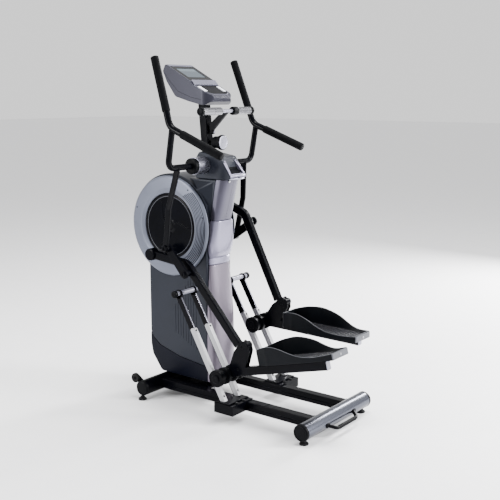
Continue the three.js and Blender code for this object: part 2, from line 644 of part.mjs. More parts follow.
const knobProfile = [[0, 0], [KNOB.r - 4, 0], [KNOB.r, 3], [KNOB.r, 14], [KNOB.r - 5, 20], [KNOB.r - 7, 50],
  [KNOB.r - 12, KNOB.length], [6.3, KNOB.length], [6.3, KNOB.length + 44], [0, KNOB.length + 44]];
add("adjust_knob", turning(knobProfile, vec(0, KNOB.y, KNOB.z), vec(0, KNOB.y + 1, KNOB.z), 18), PAINT.plastic);

// Fixed grip bar and its brace back to the mast.
function gripBar() {
  const { half, r, sleeveR, ringR, capR } = BAR;
  const end = [[sleeveR, half - 22], [capR - 2, half - 20], [capR, half - 14], [capR, half - 6], [capR - 6, half],
    [0, half]];
  const right = [[0, 0], [r, 0], [r, 38], [ringR, 40], [ringR, 76], [sleeveR, 78], ...end];
  const left = [[0, 0], [r, 0], [r, 40], [sleeveR, 44], ...end];
  const side = (outline, sign) => turning(outline, vec(0, BAR.y, BAR.z), vec(sign, BAR.y, BAR.z), 12);
  const web = [[BAR.y - 6, BAR.z + 6], [BAR.y - 6, BAR.z - 10], [100, 1314], [108.6, 1314], [112.7, 1360],
    [BAR.y + 10, BAR.z + 9]];
  return join(side(right, 1), side(left, -1), alongX(web, -9, 9));
}

add("grip_bar", gripBar(), PAINT.alloy);

// Console: a wedge-shaped housing with a sloped display above a key panel.
const CONSOLE_SIDE = [[308, 1640], [324, 1606], [300, 1556], [246, 1486], [160, 1463], [98, 1450], [66, 1446],
  [38, 1462], [28, 1480], [36, 1492], [136, 1541], [149, 1557]];
const CONSOLE_RADII = [10, 10, 14, 14, 8, 8, 8, 8, 4, 3, 3, 3];
const slopeOf = ([y0, z0], [y1, z1]) => Math.atan2(z1 - z0, y1 - y0);

function panelBlock(from, to, start, end, half, sink, proud, nose = 8) {
  const angle = slopeOf(from, to);
  const along = vec(0, Math.cos(angle), Math.sin(angle));
  const up = vec(0, -Math.sin(angle), Math.cos(angle));
  const at = vec(0, from[0], from[1]).addScaledVector(up, -sink);
  const outline = filleted(rectangle(-half, half, start, end), [nose, nose, 8, 8], 4);
  return extruded(outline, sink + proud, toMatrix(vec(1, 0, 0), along, up, at));
}

const KEY_EDGE = [CONSOLE_SIDE[9], CONSOLE_SIDE[10]];
const VIEW_EDGE = [CONSOLE_SIDE[11], CONSOLE_SIDE[0]];

function keySlot(sign, grow, sink, proud) {
  const angle = slopeOf(...KEY_EDGE);
  const along = vec(0, Math.cos(angle), Math.sin(angle));
  const up = vec(0, -Math.sin(angle), Math.cos(angle));
  const at = vec(0, ...KEY_EDGE[0]).addScaledVector(up, -sink);
  const { keyX, keyHalf, keyStart, keyEnd } = KEYPAD;
  const reach = keyHalf + grow;
  const outline = rectangle(sign * keyX - reach, sign * keyX + reach, keyStart - grow, keyEnd + grow);
  return extruded(outline, sink + proud, toMatrix(vec(1, 0, 0), along, up, at), grow ? 0 : 1);
}

const keypad = (gap, sink, proud) => panelBlock(
  ...KEY_EDGE, KEYPAD.start + gap, KEYPAD.end - gap, KEYPAD.half - gap, sink, proud, KEYPAD.nose - gap);
const screen = (gap, sink, proud) => panelBlock(
  ...VIEW_EDGE, SCREEN.start + gap, SCREEN.end - gap, SCREEN.half - gap, sink, proud);

// The housing seen from above, moved inwards by d: a round nose under the keys.
function consolePlan(d) {
  const corners = rectangle(-CONSOLE.half + d, CONSOLE.half - d, CONSOLE.front + d, CONSOLE.rear);
  return alongZ(filleted(corners, [CONSOLE.nose - d, CONSOLE.nose - d, 6, 6], 5), 1400, 1700);
}

const consoleSide = filleted(CONSOLE_SIDE, CONSOLE_RADII, 2);
const consoleBody = cut(
  common(alongX(consoleSide, -CONSOLE.half, CONSOLE.half, 4), consolePlan(0)),
  common(alongX(inset(CONSOLE_SIDE, CONSOLE.wall), -CONSOLE.half, CONSOLE.half), consolePlan(CONSOLE.wall)),
  keypad(0, 20, 5),
  screen(0, 20, 5),
  block(-MAST.half - GAP, MAST.half + GAP, 116, 170, 1440, 1475),
);
add("console_housing", consoleBody, PAINT.slate);
add("key_panel", cut(keypad(GAP, 5, -0.8), keySlot(1, GAP, 20, 10), keySlot(-1, GAP, 20, 10)), PAINT.plastic);
addPair("key_rocker", keySlot(1, 0, 5, 2.5), PAINT.alloy);
add("display", screen(GAP, 5, -1), PAINT.glass);

// ---------- moving sides, built at the left pedal's pose and mirrored or turned ----------

const pedalRight = (body) => turned(
  body, CARRIAGE.y, CARRIAGE.z, CARRIAGE_RIGHT.pitch, CARRIAGE_RIGHT.y, CARRIAGE_RIGHT.z);
const carriageRight = (body) => turned(body, CARRIAGE.y, CARRIAGE.z, 0, CARRIAGE_RIGHT.y, CARRIAGE_RIGHT.z);
const handleRight = (body) => turned(body, HUB.y, HUB.z, HANDLE.rightSwing);

function addSides(name, body, toRight, paint) {
  add(`${name}_left`, mirrored(body), paint);
  add(`${name}_right`, toRight(body), paint);
}

function roller(x0, x1, trackX) {
  const { rollerR, treadR, axleR } = CARRIAGE;
  const a = trackX - TRACK.width / 2 - TRACK.clear - x0;
  const b = trackX + TRACK.width / 2 + TRACK.clear - x0;
  const bore = axleR + LOOSE;
  const profile = [[bore, 0], [rollerR, 0], [rollerR, a - 3], [treadR, a], [treadR, b], [rollerR, b + 3],
    [rollerR, x1 - x0], [bore, x1 - x0], [bore, 0]];
  return turning(profile, vec(x0, CARRIAGE.y, CARRIAGE.z), vec(x1, CARRIAGE.y, CARRIAGE.z), 18);
}

const axlePart = (r, x0, x1, chamfer) => rod(CARRIAGE.y, CARRIAGE.z, r, x0, x1, chamfer, 14);
const rollerAxle = join(
  axlePart(CARRIAGE.axleR, 108, 284),
  axlePart(20, 104, 109.5, 2),
  axlePart(20, 282.5, 288, 2),
);
addSides("roller_axle", rollerAxle, carriageRight, PAINT.steel);
addSides("roller_inner", roller(110, 173, STRUT.inner), carriageRight, PAINT.rubber);
addSides("roller_outer", roller(209, 282, STRUT.outer), carriageRight, PAINT.rubber);

const tread = (PEDAL.slope * Math.PI) / 180;
const treadBack = vec(0, -Math.cos(tread), Math.sin(tread));
const treadUp = vec(0, Math.sin(tread), Math.cos(tread));
const carriageAt = vec(0, CARRIAGE.y, CARRIAGE.z);

// Outline in (X, s) raised from h0 to h1, with s running back from the carriage axle.
function treadPlan(points, h0, h1, chamfer) {
  const matrix = toMatrix(vec(-1, 0, 0), treadBack, treadUp, carriageAt.clone().addScaledVector(treadUp, h0));
  return extruded(points.map(([x, s]) => [-x, s]).reverse(), h1 - h0, matrix, chamfer);
}

// Outline in (s, h) swept in X.
function treadSide(points, x0, x1, chamfer) {
  const matrix = toMatrix(treadBack, treadUp, vec(-1, 0, 0), carriageAt.clone().setX(x1));
  return extruded(points, x1 - x0, matrix, chamfer);
}

function pedalArm() {
  const bar = (from, to, x0, x1) => {
    const r = ARM.width / 2;
    return alongX(stadium([...from, r], [...to, r], 4), x0, x1, 4);
  };
  const pin = [PIN.y, PIN.z];
  const lower = bar(ARM.bend, ARM.low, ARM.x0, ARM.x1);
  const upper = bar(ARM.bend, pin, ARM.x0, ARM.x1);
  const boss = rod(PIN.y, PIN.z, PIN.bossR, ARM.x0 - 4, PIN.bossX, 3, 16);
  const crankPin = rod(PIN.y, PIN.z, PIN.r, PIN.tip, ARM.x0, 0, 12);
  const boltBoss = rod(BOLT.y, BOLT.z, BOLT.r, ARM.x1 - 2, BOLT.x1, 0, 14);
  const gusset = alongX(filleted([
    [-118, 190], [-158, 222], [-196, 332], [-240, 392], [-276, 380], [-286, 350], [-262, 262], [-222, 218],
  ], 10, 2), ARM.x0, ARM.x1);
  const eye = rod(CARRIAGE.y, CARRIAGE.z, 27, ARM.x0 - 2, ARM.x1 + 2, 0, 18);
  const foot = treadSide(rectangle(6, 573, -11, PEDAL.base - GAP), ARM.x0 - 2, ARM.x1 + 2, 3);
  const bore = rod(CARRIAGE.y, CARRIAGE.z, CARRIAGE.axleR + LOOSE, 150, 240, 0, 14);
  return cut(join(lower, upper, boss, crankPin, boltBoss, gusset, eye, foot), bore);
}

addSides("pedal_arm", pedalArm(), pedalRight, PAINT.black);

// Tray height along its length, on the lower wall and on the wall at the user's right.
const RIM_LOW = [[570, 57], [500, 53], [450, 58], [400, 74], [350, 97], [310, 111], [270, 115], [235, 111]];
const RIM_HIGH = [[552, 58], [510, 68], [480, 83], [445, 101], [405, 115], [330, 125], [270, 119], [235, 112]];

function footplate(highSide) {
  const { x, half, start, end, base, floor, wall } = PEDAL;
  const outline = (d) => filleted([
    [x - half * 0.78 + d, start + d], [x + half * 0.78 - d, start + d], [x + half - d, start + 70],
    [x + half - d, end - 150], [x + half * 0.87 - d, end - d], [x - half * 0.87 + d, end - d],
    [x - half + d, end - 150], [x - half + d, start + 70],
  ], [26, 26, 30, 30, 8, 8, 30, 30], 3);
  const side = (heights) => [[start - 5, base], [end + 5, base], [end + 5, 61], ...heights, [start - 5, 98]];
  const outer = treadSide(side(highSide > 0 ? RIM_HIGH : RIM_LOW), x, x + half + 5);
  const inner = treadSide(side(highSide > 0 ? RIM_LOW : RIM_HIGH), x - half - 5, x);
  const hull = treadPlan(outline(0), base, 130);
  const pocket = treadPlan(outline(wall), floor, 140);
  return common(cut(hull, pocket), join(outer, inner));
}

add("footplate_left", mirrored(footplate(-1)), PAINT.plastic);
add("footplate_right", pedalRight(footplate(1)), PAINT.plastic);

// Swinging handle: hub stub, elbow and riser, the bent grip tube, and the arm down to the link.
function handleFrame() {
  const hub = (x) => vec(x, HUB.y, HUB.z);
  const riser = bentTube([hub(80), hub(HANDLE.elbowX), vec(315, 66, 1336)], HANDLE.tubeR, 38);
  const grip = bentTube([vec(298, 181, 1660), vec(313, 80, 1350), vec(310, -214, 1232)], HANDLE.tubeR, 62);
  const cap = rod(HUB.y, HUB.z, HUB.capR, HUB.half + GAP, HUB.half + 20, 3, 18);
  const strap = (points) => loft(points.map(([x, y, z, half]) => [
    vec(x - 6, y - half, z), vec(x + 6, y - half, z), vec(x + 6, y + half, z), vec(x - 6, y + half, z),
  ]));
  const arm = strap([[256, 170, 787, 15], [260, 163, 815, 15], [274, 134, 964, 15], [274, 130, 984, 15],
    [252, 104, 1126, 16], [250, 100, 1160, 16]]);
  const eye = rod(LINK.y, LINK.z, LINK.eyeR, 250, 262, 0, 16);
  const bore = rod(LINK.y, LINK.z, LINK.pinR + LOOSE, 240, 275, 0, 12);
  return cut(join(riser, grip, cap, arm, eye), bore);
}

addSides("handle_frame", handleFrame(), handleRight, PAINT.black);

function foamGrip(tip, towards, length) {
  const axis = towards.clone().sub(tip).normalize();
  const start = tip.clone().addScaledVector(axis, length);
  const bore = HANDLE.tubeR + LOOSE;
  const r = HANDLE.gripR;
  const profile = [[0, length + 0.6], [bore, length + 0.6], [bore, 0], [r - 1.5, 0], [r, 2], [r, length],
    [r - 4, length + 5], [0, length + 6]];
  return turning(profile, start, tip, 14);
}

const upperGrip = foamGrip(vec(298, 181, 1660), vec(313, 80, 1350), 236);
const lowerGrip = foamGrip(vec(310, -214, 1232), vec(313, 80, 1350), 226);
addSides("upper_grip", upperGrip, handleRight, PAINT.foam);
addSides("lower_grip", lowerGrip, handleRight, PAINT.foam);

// Link from the swinging handle to the pedal arm, with its pin and bolt heads.
function linkPlate() {
  const plate = alongX(stadium([LINK.y, LINK.z, LINK.eyeR], [BOLT.y, BOLT.z, 22], 7), LINK.x0, LINK.x1, 1.5);
  const pin = rod(LINK.y, LINK.z, LINK.pinR, LINK.x1 - 2, 266, 0, 12);
  const pinHead = rod(LINK.y, LINK.z, 16, 264.5, 271, 2, 12);
  const boltHead = rod(BOLT.y, BOLT.z, 14, LINK.x1 - 2, LINK.x1 + 8, 2, 12);
  return join(plate, pin, pinHead, boltHead);
}

const leftLink = Math.atan2(BOLT.z - LINK.z, BOLT.y - LINK.y);
const rightLink = Math.atan2(LINK_RIGHT.boltZ - LINK_RIGHT.z, LINK_RIGHT.boltY - LINK_RIGHT.y);
const linkTurn = ((rightLink - leftLink) * 180) / Math.PI;
const linkRight = (body) => turned(body, LINK.y, LINK.z, linkTurn, LINK_RIGHT.y, LINK_RIGHT.z);
addSides("link", linkPlate(), linkRight, PAINT.black);

// Centre the footprint on the origin and rest the feet on the floor.
const box = new THREE.Box3().setFromObject(group);
const shift = vec(-(box.min.x + box.max.x) / 2, -(box.min.y + box.max.y) / 2, -box.min.z);
for (const node of group.children) node.geometry.translate(shift.x, shift.y, shift.z);

export default group;
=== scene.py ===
"""Elliptical trainer: the visual model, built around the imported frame. Shapes are in millimetres."""
import json
import math

import bmesh
import bpy
from mathutils import Matrix, Vector


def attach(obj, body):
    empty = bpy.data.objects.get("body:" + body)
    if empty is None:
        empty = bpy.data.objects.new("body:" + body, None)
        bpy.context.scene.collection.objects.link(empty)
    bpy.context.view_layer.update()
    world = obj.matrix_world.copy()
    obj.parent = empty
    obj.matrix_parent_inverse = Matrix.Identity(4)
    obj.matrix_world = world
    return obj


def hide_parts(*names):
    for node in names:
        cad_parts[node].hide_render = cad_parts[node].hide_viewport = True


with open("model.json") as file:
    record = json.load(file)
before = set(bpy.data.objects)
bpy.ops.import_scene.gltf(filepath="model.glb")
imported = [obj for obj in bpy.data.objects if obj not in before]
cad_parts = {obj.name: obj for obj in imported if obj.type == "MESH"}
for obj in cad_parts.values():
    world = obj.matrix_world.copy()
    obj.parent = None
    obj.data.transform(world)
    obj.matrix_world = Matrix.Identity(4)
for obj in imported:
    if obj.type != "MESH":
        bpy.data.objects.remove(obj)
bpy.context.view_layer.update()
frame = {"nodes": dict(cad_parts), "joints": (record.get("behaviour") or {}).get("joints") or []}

# ---------- driving dimensions, in millimetres ----------
# Sizes are measured from a design origin under the crank tower.
# The frame says how far forward that origin lies.
MM = 0.001
JOINTS = {joint["name"]: joint for joint in frame["joints"]}
CRANK_Y = 289
FORWARD = JOINTS["crank_spin"]["pos_m"][1] / MM - CRANK_Y


def pivot(joint):
    """(y, z) of a joint's axis in the design's own millimetres."""
    _, y, z = JOINTS[joint]["pos_m"]
    return y / MM - FORWARD, z / MM


CRANK = pivot("crank_spin")
HUB = pivot("left_handle_swing")
CARRIAGE = pivot("left_pedal_pitch")
CARRIAGE_RIGHT = pivot("right_pedal_pitch")
LINK_TOP = pivot("left_link_hinge")
LINK_TOP_RIGHT = pivot("right_link_hinge")
WHEEL = pivot("left_wheel_spin")
KNOB_Z = pivot("knob_turn")[1]

CRANK_TURN = -20.0
RIGHT_PITCH = 15.33
RIGHT_SWING = -2.13
SLOPE = {"angle": math.radians(60), "y": -175, "z": 109, "length": 350, "end": 12}
RAIL_X = (140, 242)
TIE = (102, 571)
BASE = {"front": 337, "rear": -614, "z": 59, "r": 38, "half": 257, "cap": 273}
TREAD_SLOPE = math.radians(14.5)
PIN = (320.5, 727.7)
BOLT = (70.2, 667.3)
BOLT_RIGHT = (32.11, 865.78)
PEDAL = {"x": 146, "half": 76, "start": 196, "end": 612, "base": 30, "floor": 43, "wall": 6}
TOWER = {"half": 92, "neck": 60, "disc": 257, "split": 0.3, "wall": 4}
RING = {"inner": 163, "outer": 248, "back": 92.6, "face": 111}
BAR = {"y": 6, "z": 1419, "half": 196}
MAST = {"half": 22, "y": 121, "z": 1200, "top": 1462, "lean": 0.09}
CONSOLE_HALF = 94
HUB_R = 41
ROLLER_R = 40
GROOVE = 13
LEG_HALF = 5
RAIL_HALF = 10
BEAM = {"x0": 113, "x1": 159, "z0": 39, "z1": 85, "groove": 60}
DISC = {"r": 159, "x": 93}
VENTS = {"count": 9, "first": 128, "pitch": 17, "low": 250, "high": 620}
ELBOW = (313, 80, 1350)
UPPER_TIP = (298, 181, 1660)
LOWER_TIP = (310, -214, 1232)
RIGHT = Vector((1, 0, 0))
UPWARD = Vector((0, 0, 1))
AHEAD = Vector((0, 1, 0))


# ---------- shapes ----------
def from_faces(points, faces):
    solid = bmesh.new()
    corners = [solid.verts.new(point) for point in points]
    for face in faces:
        solid.faces.new([corners[i] for i in face])
    bmesh.ops.recalc_face_normals(solid, faces=solid.faces)
    return solid


def loft(rings, closed=False):
    """Skin over rings of equal length; its ends are capped unless the last ring joins the first."""
    count = len(rings[0])
    total = len(rings)
    faces = []
    for k in range(total if closed else total - 1):
        low = k * count
        high = ((k + 1) % total) * count
        for i in range(count):
            j = (i + 1) % count
            faces.append((low + i, low + j, high + j, high + i))
    if not closed:
        faces.append(tuple(reversed(range(count))))
        faces.append(tuple(range((total - 1) * count, total * count)))
    return from_faces([point for ring in rings for point in ring], faces)


def soften(solid, width, angle=30, segments=2):
    """Round every edge sharper than the angle."""
    edges = [e for e in solid.edges if len(e.link_faces) == 2 and e.calc_face_angle(0) > math.radians(angle)]
    bmesh.ops.bevel(solid, geom=edges, offset=width, segments=segments, profile=0.5, affect="EDGES",
                    clamp_overlap=True)
    return solid


def prism(outline, x0, x1, width=0.0, segments=2):
    """An outline in (y, z), swept along X."""
    solid = loft([[(x, y, z) for y, z in outline] for x in (x0, x1)])
    return soften(solid, width, segments=segments) if width else solid


def upright(outline, z0, z1, width=0.0):
    """An outline in (x, y), swept along Z."""
    solid = loft([[(x, y, z) for x, y in outline] for z in (z0, z1)])
    return soften(solid, width) if width else solid


def oblong(x0, x1, y0, y1, z0, z1, width=0.0):
    return upright(rectangle(x0, x1, y0, y1), z0, z1, width)


def rectangle(a0, a1, b0, b1):
    return [(a0, b0), (a1, b0), (a1, b1), (a0, b1)]


def circle(y, z, r, count=64):
    return [(y + r * math.cos(t), z + r * math.sin(t)) for t in (2 * math.pi * i / count
                                                                 for i in range(count))]


def rounded(points, radii, steps=6):
    """Outline with each corner replaced by an arc."""
    if isinstance(radii, (int, float)):
        radii = [radii] * len(points)
    result = []
    for i, (corner, radius) in enumerate(zip(points, radii)):
        here = Vector(corner)
        before = (Vector(points[i - 1]) - here).normalized()
        after = (Vector(points[(i + 1) % len(points)]) - here).normalized()
        half = before.angle(after) / 2
        if radius <= 0 or half > math.radians(89.5):
            result.append(tuple(here))
            continue
        reach = radius / math.tan(half)
        centre = here + (before + after).normalized() * (radius / math.sin(half))
        start = here + before * reach - centre
        end = here + after * reach - centre
        turn = math.atan2(start.x * end.y - start.y * end.x, start.dot(end))
        for k in range(steps + 1):
            result.append(tuple(centre + Matrix.Rotation(turn * k / steps, 2) @ start))
    return result


def capsule(a, b, steps=20):
    """Outline round two circles given as (y, z, radius)."""
    ya, za, ra = a
    yb, zb, rb = b
    base = math.atan2(zb - za, yb - ya)
    lean = math.acos((ra - rb) / math.hypot(yb - ya, zb - za))
    result = []
    for y, z, r, first, sweep in ((ya, za, ra, base + lean, 2 * math.pi - 2 * lean),
                                  (yb, zb, rb, base - lean, 2 * lean)):
        for k in range(steps + 1):
            angle = first + sweep * k / steps
            result.append((y + r * math.cos(angle), z + r * math.sin(angle)))
    return result


def lathe(profile, start, direction, steps=64):
    """Profile of (radius, distance) turned about the line from start; it closes on the axis or on itself."""
    axis = Vector(direction).normalized()
    side = axis.orthogonal().normalized()
    other = axis.cross(side)
    origin = Vector(start)
    points = []
    rings = []
    ring_closed = profile[0] == profile[-1]
    for radius, distance in profile[:-1] if ring_closed else profile:
        centre = origin + axis * distance
        if radius < 1e-6:
            rings.append([len(points)])
            points.append(centre)
            continue
        rings.append(list(range(len(points), len(points) + steps)))
        for k in range(steps):
            angle = 2 * math.pi * k / steps
            points.append(centre + (side * math.cos(angle) + other * math.sin(angle)) * radius)
    faces = []
    pairs = list(zip(rings, rings[1:])) + ([(rings[-1], rings[0])] if ring_closed else [])
    for a, b in pairs:
        for k in range(steps):
            n = (k + 1) % steps
            if len(a) == 1 and len(b) == 1:
                continue
            if len(a) == 1:
                faces.append((a[0], b[n], b[k]))
            elif len(b) == 1:
                faces.append((a[k], a[n], b[0]))
            else:
                faces.append((a[k], a[n], b[n], b[k]))
    return from_faces(points, faces)


def rod(y, z, r, x0, x1, width=0.8, steps=48):
    """A round bar along X with eased rims."""
    profile = [(0, 0), (r - width, 0), (r - 0.3 * width, 0.3 * width), (r, width), (r, x1 - x0 - width),
               (r - 0.3 * width, x1 - x0 - 0.3 * width), (r - width, x1 - x0), (0, x1 - x0)]
    return lathe(profile, (x0, y, z), RIGHT, steps)


def bent_path(corners, radius, steps=10):
    """Points of a path whose inner corners are arcs."""
    points = [Vector(corners[0])]
    for before, here, after in zip(corners, corners[1:], corners[2:]):
        here = Vector(here)
        a = (Vector(before) - here).normalized()
        b = (Vector(after) - here).normalized()
        half = a.angle(b) / 2
        reach = radius / math.tan(half)
        centre = here + (a + b).normalized() * (radius / math.sin(half))
        start = here + a * reach - centre
        turn = Matrix.Rotation((math.pi - 2 * half) / steps, 3, start.cross(here + b * reach - centre))
        for _ in range(steps + 1):
            points.append(centre + start)
            start = turn @ start
    points.append(Vector(corners[-1]))
    return points


def sweep(section, path, side=None):
    """A closed section of (a, b) points carried along a path, with a kept near the side vector."""
    rings = []
    for i, point in enumerate(path):
        ahead = path[min(i + 1, len(path) - 1)] - path[max(i - 1, 0)]
        tangent = ahead.normalized()
        if side is None:
            side = tangent.orthogonal()
        across = (side - tangent * side.dot(tangent)).normalized()
        up = tangent.cross(across)
        rings.append([point + across * a + up * b for a, b in section])
        side = across
    return loft(rings)


def tube(corners, r, bend, sides=32, steps=10):
    """A bent round tube with eased ends."""
    path = bent_path(corners, bend, steps)
    solid = sweep(circle(0, 0, r, sides), path)
    return soften(solid, min(1.2, r / 4), angle=60)


def temporary(solid):
    mesh = bpy.data.meshes.new("part")
    solid.to_mesh(mesh)
    solid.free()
    thing = bpy.data.objects.new("part", mesh)
    bpy.context.scene.collection.objects.link(thing)
    return thing


def combined(solid, operation, tools):
    """Boolean of one solid with several tools."""
    base = temporary(solid)
    others = [temporary(tool) for tool in tools]
    for other in others:
        step = base.modifiers.new("step", "BOOLEAN")
        step.operation = operation
        step.solver = "MANIFOLD"
        step.object = other
    evaluated = base.evaluated_get(bpy.context.evaluated_depsgraph_get())
    result = bmesh.new()
    result.from_mesh(evaluated.data)
    for thing in [base] + others:
        mesh = thing.data
        bpy.data.objects.remove(thing)
        bpy.data.meshes.remove(mesh)
    return result


def cut(solid, *tools):
    return combined(solid, "DIFFERENCE", tools)


def join(solid, *tools):
    return combined(solid, "UNION", tools)


def common(solid, tool):
    return combined(solid, "INTERSECT", [tool])


def gathered(*solids):
    """Several separate solids as one mesh."""
    result = bmesh.new()
    for solid in solids:
        mesh = bpy.data.meshes.new("part")
        solid.to_mesh(mesh)
        solid.free()
        result.from_mesh(mesh)
        bpy.data.meshes.remove(mesh)
    return result


# ---------- places ----------
MIRROR = Matrix.Diagonal((-1, 1, 1, 1))
STILL = Matrix.Identity(4)


def turned(start, degrees, end):
    """Turn about an X axis through start, then carry that axis to end."""
    turn = Matrix.Rotation(math.radians(degrees), 4, "X")
    return Matrix.Translation((0, *end)) @ turn @ Matrix.Translation((0, -start[0], -start[1]))


PEDAL_RIGHT = turned(CARRIAGE, RIGHT_PITCH, CARRIAGE_RIGHT)
CARRIAGE_MOVE = turned(CARRIAGE, 0, CARRIAGE_RIGHT)
HANDLE_RIGHT = turned(HUB, RIGHT_SWING, HUB)
LINK_LEAN = math.atan2(BOLT[1] - LINK_TOP[1], BOLT[0] - LINK_TOP[0])
LINK_LEAN_RIGHT = math.atan2(BOLT_RIGHT[1] - LINK_TOP_RIGHT[1], BOLT_RIGHT[0] - LINK_TOP_RIGHT[0])
LINK_RIGHT = turned(LINK_TOP, math.degrees(LINK_LEAN_RIGHT - LINK_LEAN), LINK_TOP_RIGHT)
# The right side stands elsewhere in its stroke, so its moving bodies are carried from the left side's pose.
RIGHT_PLACES = {"{side}_carriage": CARRIAGE_MOVE, "{side}_inner_roller": CARRIAGE_MOVE,
                "{side}_outer_roller": CARRIAGE_MOVE, "{side}_pedal": PEDAL_RIGHT,
                "{side}_handle": HANDLE_RIGHT, "{side}_link": LINK_RIGHT}


def piece(name, solid, look, body="frame", stands_for=(), place=STILL, smooth=32):
    """Turn a solid into a finished object that rides on a body."""
    paint, slot = look
    solid.transform(Matrix.Scale(MM, 4) @ Matrix.Translation((0, FORWARD, 0)) @ place)
    if place.determinant() < 0:
        bmesh.ops.reverse_faces(solid, faces=solid.faces)
    mesh = bpy.data.meshes.new(name)
    solid.to_mesh(mesh)
    solid.free()
    for face in mesh.polygons:
        face.use_smooth = True
    mesh.set_sharp_from_angle(angle=math.radians(smooth))
    mesh.materials.append(paint)
    thing = bpy.data.objects.new(name, mesh)
    bpy.context.scene.collection.objects.link(thing)
    evened = thing.modifiers.new("evened", "WEIGHTED_NORMAL")
    evened.keep_sharp = True
    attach(thing, body)
    if stands_for:
        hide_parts(*stands_for)
    return thing


def both(name, make, look, body="frame", node=None, smooth=32):
    """The same solid on both sides; it is made for the right, in the left side's pose."""
    for side, place in (("left", MIRROR), ("right", RIGHT_PLACES.get(body, STILL))):
        stands_for = (f"{node}_{side}",) if node else ()
        piece(f"{name}_{side}", make(), look, body.format(side=side), stands_for, place, smooth)


# ---------- materials ----------
NOISE_LOW, NOISE_HIGH = 0.3, 0.7


def shader(name, metallic, specular=0.5):
    material = bpy.data.materials.new(name)
    material.use_nodes = True
    surface = material.node_tree.nodes["Principled BSDF"]
    surface.inputs["Metallic"].default_value = metallic
    surface.inputs["Specular IOR Level"].default_value = specular
    return material, material.node_tree, surface


def mapped(tree, scale=(1, 1, 1)):
    """Object coordinates, stretched per axis."""
    place = tree.nodes.new("ShaderNodeTexCoord")
    stretch = tree.nodes.new("ShaderNodeMapping")
    stretch.inputs["Scale"].default_value = scale
    tree.links.new(place.outputs["Object"], stretch.inputs["Vector"])
    return stretch.outputs["Vector"]


def noise(tree, vector, scale, detail=3.0):
    cloud = tree.nodes.new("ShaderNodeTexNoise")
    cloud.inputs["Scale"].default_value = scale
    cloud.inputs["Detail"].default_value = detail
    tree.links.new(vector, cloud.inputs["Vector"])
    return cloud.outputs["Fac"]


def ramp(tree, factor, low, high):
    """Colour between two, over the middle range of a noise."""
    blend = tree.nodes.new("ShaderNodeValToRGB")
    for element, position, colour in zip(blend.color_ramp.elements, (NOISE_LOW, NOISE_HIGH), (low, high)):
        element.position = position
        element.color = colour
    tree.links.new(factor, blend.inputs["Fac"])
    return blend.outputs["Color"]


def spread(tree, factor, low, high):
    """Value between two, over the middle range of a noise."""
    fit = tree.nodes.new("ShaderNodeMapRange")
    for socket, value in (("From Min", NOISE_LOW), ("From Max", NOISE_HIGH), ("To Min", low),
                          ("To Max", high)):
        fit.inputs[socket].default_value = value
    tree.links.new(factor, fit.inputs["Value"])
    return fit.outputs["Result"]


def bump(tree, height, distance, strength):
    relief = tree.nodes.new("ShaderNodeBump")
    relief.inputs["Distance"].default_value = distance
    relief.inputs["Strength"].default_value = strength
    tree.links.new(height, relief.inputs["Height"])
    return relief.outputs["Normal"]


def tint(colour, factor):
    return tuple(min(1.0, channel * factor) for channel in colour) + (1.0,)


def finish(name, slot, colour, metallic=0.0, rough=(0.3, 0.4), specular=0.5, contrast=0.12, cloud=9.0,
           grain=900.0, depth=0.00005, stretch=(1, 1, 1), strength=0.35):
    """A finish with slow colour drift, uneven roughness and a fine surface grain."""
    material, tree, surface = shader(name, metallic, specular)
    space = mapped(tree, stretch)
    slow = noise(tree, space, cloud)
    fine = noise(tree, space, grain, 2.0)
    smudge = noise(tree, space, cloud * 3.1, 5.0)
    tree.links.new(ramp(tree, slow, tint(colour, 1 - contrast), tint(colour, 1 + contrast)),
                   surface.inputs["Base Color"])
    tree.links.new(spread(tree, smudge, *rough), surface.inputs["Roughness"])
    tree.links.new(bump(tree, fine, depth, strength), surface.inputs["Normal"])
    return material, slot


def foam(name, slot, colour):
    """Closed-cell foam: fine pores over a soft, uneven skin."""
    material, tree, surface = shader(name, 0.0, 0.05)
    space = mapped(tree)
    cells = tree.nodes.new("ShaderNodeTexVoronoi")
    cells.inputs["Scale"].default_value = 900.0
    tree.links.new(space, cells.inputs["Vector"])
    slow = noise(tree, space, 30.0)
    tree.links.new(ramp(tree, slow, tint(colour, 0.7), tint(colour, 1.4)), surface.inputs["Base Color"])
    tree.links.new(spread(tree, noise(tree, space, 60.0), 0.62, 0.8), surface.inputs["Roughness"])
    tree.links.new(bump(tree, cells.outputs["Distance"], 0.0004, 0.5), surface.inputs["Normal"])
    return material, slot


def lcd(name, slot):
    """Unlit liquid crystal: a lighter head band, then faint rows of empty segment fields."""
    material, tree, surface = shader(name, 0.0, 0.4)
    space = mapped(tree)
    split = tree.nodes.new("ShaderNodeSeparateXYZ")
    tree.links.new(space, split.inputs["Vector"])
    band = tree.nodes.new("ShaderNodeMapRange")
    band.inputs["From Min"].default_value = 1.604
    band.inputs["From Max"].default_value = 1.606
    tree.links.new(split.outputs["Z"], band.inputs["Value"])
    rows = tree.nodes.new("ShaderNodeTexBrick")
    rows.offset = 0.0
    for socket, value in (("Scale", 1.0), ("Brick Width", 0.022), ("Row Height", 0.012),
                          ("Mortar Size", 0.0008), ("Color1", (0.022, 0.034, 0.046, 1)),
                          ("Color2", (0.025, 0.038, 0.05, 1)), ("Mortar", (0.015, 0.024, 0.034, 1))):
        rows.inputs[socket].default_value = value
    tree.links.new(space, rows.inputs["Vector"])
    mix = tree.nodes.new("ShaderNodeMix")
    mix.data_type = "RGBA"
    tree.links.new(band.outputs["Result"], mix.inputs["Factor"])
    tree.links.new(rows.outputs["Color"], mix.inputs["A"])
    mix.inputs["B"].default_value = (0.05, 0.07, 0.085, 1)
    tree.links.new(mix.outputs["Result"], surface.inputs["Base Color"])
    tree.links.new(spread(tree, noise(tree, space, 40.0), 0.12, 0.2), surface.inputs["Roughness"])
    return material, slot


